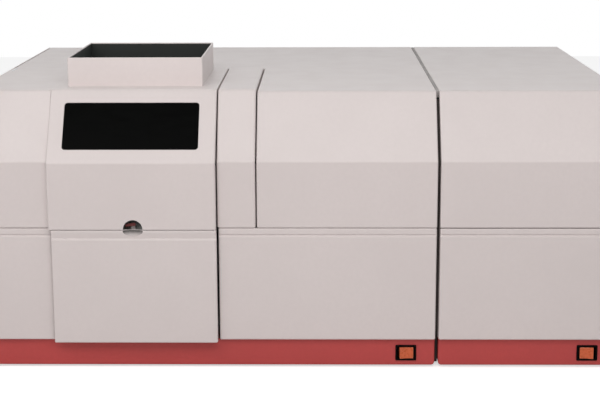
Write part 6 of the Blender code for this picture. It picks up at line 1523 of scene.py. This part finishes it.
class SPECTRO_OT_rear_fittings(bpy.types.Operator):
    """Mains inlets, gas manifold with its hose fittings, and the furnace's output terminals."""

    bl_idname = "spectro.rear_fittings"
    bl_label = "Rear fittings"

    def execute(self, context):
        for cabinet in ("main", "furnace"):
            node = cabinet + "_power_inlet"
            body, pins = power_inlet(centre_of(node), corners(node)[1][1])
            piece(node + "_body", "cabinet", body, "black plastic", [node])
            piece(node + "_pins", "cabinet", pins, "steel")
        low, high = corners("gas_manifold")
        outer = REAR_FACE + 0.25 * MM
        back = outer - SHEET - 0.5 * MM
        middle = (low[0] + high[0]) / 2
        block_line = box_outline((middle, PORT_Z), (high[0] - low[0], 46 * MM), 3 * MM, False)
        parts = [standing(plate([block_line], 34 * MM, 1 * MM), back)]
        tip = high[1] - outer
        for x in PORT_X:
            stem = mm((0, -3), (8, -3), (8, 1.4), (0, 1.4))
            parts.append(turned(stem, mm(0.2, 0.2), (x, outer, PORT_Z), "y", sides=32))
            nut = slab(circle((x, -PORT_Z), 11 * MM, 6, False), 7 * MM, 0.8 * MM)
            parts.append(moved(nut, (0, outer, 0), AXES["y"]))
            tail = [
                mm(0, 6), mm(4.4, 6), (4.4 * MM, tip - 15 * MM), (5.4 * MM, tip - 15 * MM),
                (4.1 * MM, tip - 10 * MM), (5.4 * MM, tip - 10 * MM), (4 * MM, tip - 5 * MM),
                (5.3 * MM, tip - 5 * MM), (3.5 * MM, tip), (2.2 * MM, tip), (2.2 * MM, tip - 8 * MM),
                (0, tip - 8 * MM),
            ]
            parts.append(turned(tail, (0.3 * MM, *(0.15 * MM,) * 9), (x, outer, PORT_Z), "y", 28, 2, 0))
            foot = PORT_Z + 22 * MM
            valve = [(0, 0), mm(12, 0), (12 * MM, high[2] - foot - 6 * MM), (6 * MM, high[2] - foot - 6 * MM),
                     (6 * MM, high[2] - foot), (0, high[2] - foot)]
            radii = mm(0.6, 1.2, 0.5, 0.8)
            parts.append(turned(valve, radii, (x, back - 17 * MM, foot), "z", sides=40))
        piece("gas_manifold_body", "cabinet", joined(parts), "brass", ["gas_manifold"])
        low, high = corners("output_terminals")
        base = box_outline(centre_of("output_terminals"), (high[0] - low[0], high[2] - low[2]), 3 * MM, False)
        insulators = [standing(plate([base], back - low[1], 1 * MM), back)]
        studs = []
        reach = high[1] - outer
        for x in TERMINAL_X:
            collar = mm((0, -3), (8.7, -3), (8.7, 0), (14, 0), (14, 3.2), (9, 4.6), (0, 4.6))
            radii = mm(0.3, 0.2, 0.4, 1, 0.8)
            insulators.append(turned(collar, radii, (x, outer, TERMINAL_Z), "y", sides=48))
            nut = slab(circle((x, -TERMINAL_Z), 10 * MM, 6, False), 5 * MM, 0.7 * MM)
            nut = moved(nut, (0, outer + 4.5 * MM, 0), AXES["y"])
            thread = np.stack([
                np.where(np.arange(20) % 2, 5.5 * MM, 6 * MM), 9 * MM + np.arange(20) / 2 * 1.05 * MM,
            ], 1)
            line = [mm(0, 3), mm(6, 3), *map(tuple, thread), (4.6 * MM, reach), (0, reach)]
            radii = (LEAST,) * (len(line) - 3) + (0.5 * MM,)
            studs += [nut, turned(line, radii, (x, outer, TERMINAL_Z), "y", 28, 1, 0)]
        piece("terminal_insulators", "cabinet", joined(insulators), "black plastic", ["output_terminals"])
        piece("terminal_studs", "cabinet", joined(studs), "brass")
        return {"FINISHED"}


# Stage, with the camera fitted to the photograph
FOCAL_LENGTH = 85.985
SENSOR_WIDTH = 36
CAMERA_ANGLES = (12.0708, -0.9008, -0.2012)
CAMERA_PLACE = (0.03739, -2.47899, 0.72215)
LAMPS = (
    ("front lamp", (-0.25, -1.65, 1.56), (2.8, 0.9), 22.5, (1.0, 0.975, 0.965)),
    ("low lamp", (-0.15, -3.0, 0.6), (2.8, 0.8), 6.0, (1.0, 0.76, 0.75)),
    ("top lamp", (0.2, 0.3, 2.6), (2.4, 2.0), 5, (0.96, 0.98, 1.0)),
)


class SPECTRO_OT_stage(bpy.types.Operator):
    """Floor, soft lights, white surroundings and the camera at the photograph's place."""

    bl_idname = "spectro.stage"
    bl_label = "Stage"

    def execute(self, context):
        scene = context.scene
        scene.view_settings.view_transform = "Standard"
        u = np.linspace(-4, 4, 9)
        x, y = np.meshgrid(u, u)
        points = np.stack([x, y, np.zeros_like(x)], -1).reshape(-1, 3)
        mesh = bpy.data.meshes.new("floor")
        mesh.from_pydata(points.tolist(), [], grid_faces(u, u))
        floor = bpy.data.objects.new("floor", mesh)
        scene.collection.objects.link(floor)
        tree, shader, place = new_material("floor")
        tone = noise(tree, place, 3, 4)
        base = tinted(tree, tone, (0.8, 0.8, 0.8), (0.83, 0.83, 0.83))
        shaded(tree, shader, Base_Color=base, Roughness=0.9, Specular_IOR_Level=0.0)
        seen = put(tree, "ShaderNodeLightPath").outputs["Is Camera Ray"]
        lift = put(tree, "ShaderNodeEmission", {"Color": (1, 1, 1, 1), "Strength": 0.6})
        link(tree, times(tree, seen, 0.6), lift.inputs["Strength"])
        both = put(tree, "ShaderNodeAddShader", {0: shader.outputs[0], 1: lift.outputs[0]})
        link(tree, both.outputs[0], tree.nodes["Material Output"].inputs["Surface"])
        mesh.materials.append(material_of("floor"))
        world = bpy.data.worlds.new("surroundings")
        scene.world = world
        world.use_nodes = True
        tree = world.node_tree
        back = tree.nodes["Background"]
        path = put(tree, "ShaderNodeLightPath")
        shown = path.outputs["Is Camera Ray"]
        for ray in ("Is Transmission Ray", "Is Glossy Ray"):
            both = {0: shown, 1: path.outputs[ray]}
            shown = put(tree, "ShaderNodeMath", both, operation="MAXIMUM").outputs[0]
        link(tree, ranged(tree, shown, 0.0, 1.0, 0.36, 1.0), back.inputs["Strength"])
        back.inputs["Color"].default_value = (1, 1, 1, 1)
        for name, spot, size, power, colour in LAMPS:
            light = bpy.data.lights.new(name, "AREA")
            light.shape = "RECTANGLE"
            light.size, light.size_y = size
            light.energy = power
            light.color = colour
            lamp = bpy.data.objects.new(name, light)
            lamp.location = spot
            aim = Vector((0, 0, 0.2)) - Vector(spot)
            lamp.rotation_euler = aim.to_track_quat("-Z", "Y").to_euler()
            scene.collection.objects.link(lamp)
        pitch, yaw, roll = (math.radians(angle) for angle in CAMERA_ANGLES)
        ahead = Vector((math.sin(yaw) * math.cos(pitch), math.cos(yaw) * math.cos(pitch), -math.sin(pitch)))
        right = Vector((math.cos(yaw), -math.sin(yaw), 0))
        upward = right.cross(ahead)
        side = right * math.cos(roll) + upward * math.sin(roll)
        rise = upward * math.cos(roll) - right * math.sin(roll)
        data = bpy.data.cameras.new("camera")
        data.lens, data.sensor_width = FOCAL_LENGTH, SENSOR_WIDTH
        camera = bpy.data.objects.new("camera", data)
        place = Matrix((side, rise, -ahead)).transposed().to_4x4()
        place.translation = CAMERA_PLACE
        camera.matrix_world = place
        scene.collection.objects.link(camera)
        scene.camera = camera
        return {"FINISHED"}


STEPS = (
    SPECTRO_OT_finishes, SPECTRO_OT_trays, SPECTRO_OT_lower_panels, SPECTRO_OT_covers, SPECTRO_OT_side_panels,
    SPECTRO_OT_lid, SPECTRO_OT_hood, SPECTRO_OT_collar, SPECTRO_OT_door, SPECTRO_OT_switches,
    SPECTRO_OT_latch, SPECTRO_OT_lamps, SPECTRO_OT_atomiser,
    SPECTRO_OT_rear_panels, SPECTRO_OT_rear_fittings, SPECTRO_OT_stage,
)


class SPECTRO_PT_looks(bpy.types.Panel):
    """Lists the sizes, colours and pieces."""

    bl_idname = "SPECTRO_PT_looks"
    bl_label = "Spectrometer"
    bl_space_type = "VIEW_3D"
    bl_region_type = "UI"
    bl_category = "Spectrometer"

    def draw(self, context):
        for group in (context.scene.spectro_sheet, context.scene.spectro_finish):
            box = self.layout.box()
            for name in group.__annotations__:
                box.prop(group, name)
        for step in STEPS:
            self.layout.operator(step.bl_idname)


CLASSES = (SheetSettings, FinishSettings, *STEPS, SPECTRO_PT_looks)


def register():
    for kind in CLASSES:
        bpy.utils.register_class(kind)
    bpy.types.Scene.spectro_sheet = PointerProperty(type=SheetSettings)
    bpy.types.Scene.spectro_finish = PointerProperty(type=FinishSettings)


def unregister():
    del bpy.types.Scene.spectro_finish
    del bpy.types.Scene.spectro_sheet
    for kind in reversed(CLASSES):
        bpy.utils.unregister_class(kind)


def main():
    register()
    for step in STEPS:
        group, name = step.bl_idname.split(".")
        getattr(getattr(bpy.ops, group), name)()
    bpy.context.view_layer.update()


if __name__ == "__main__":
    main()
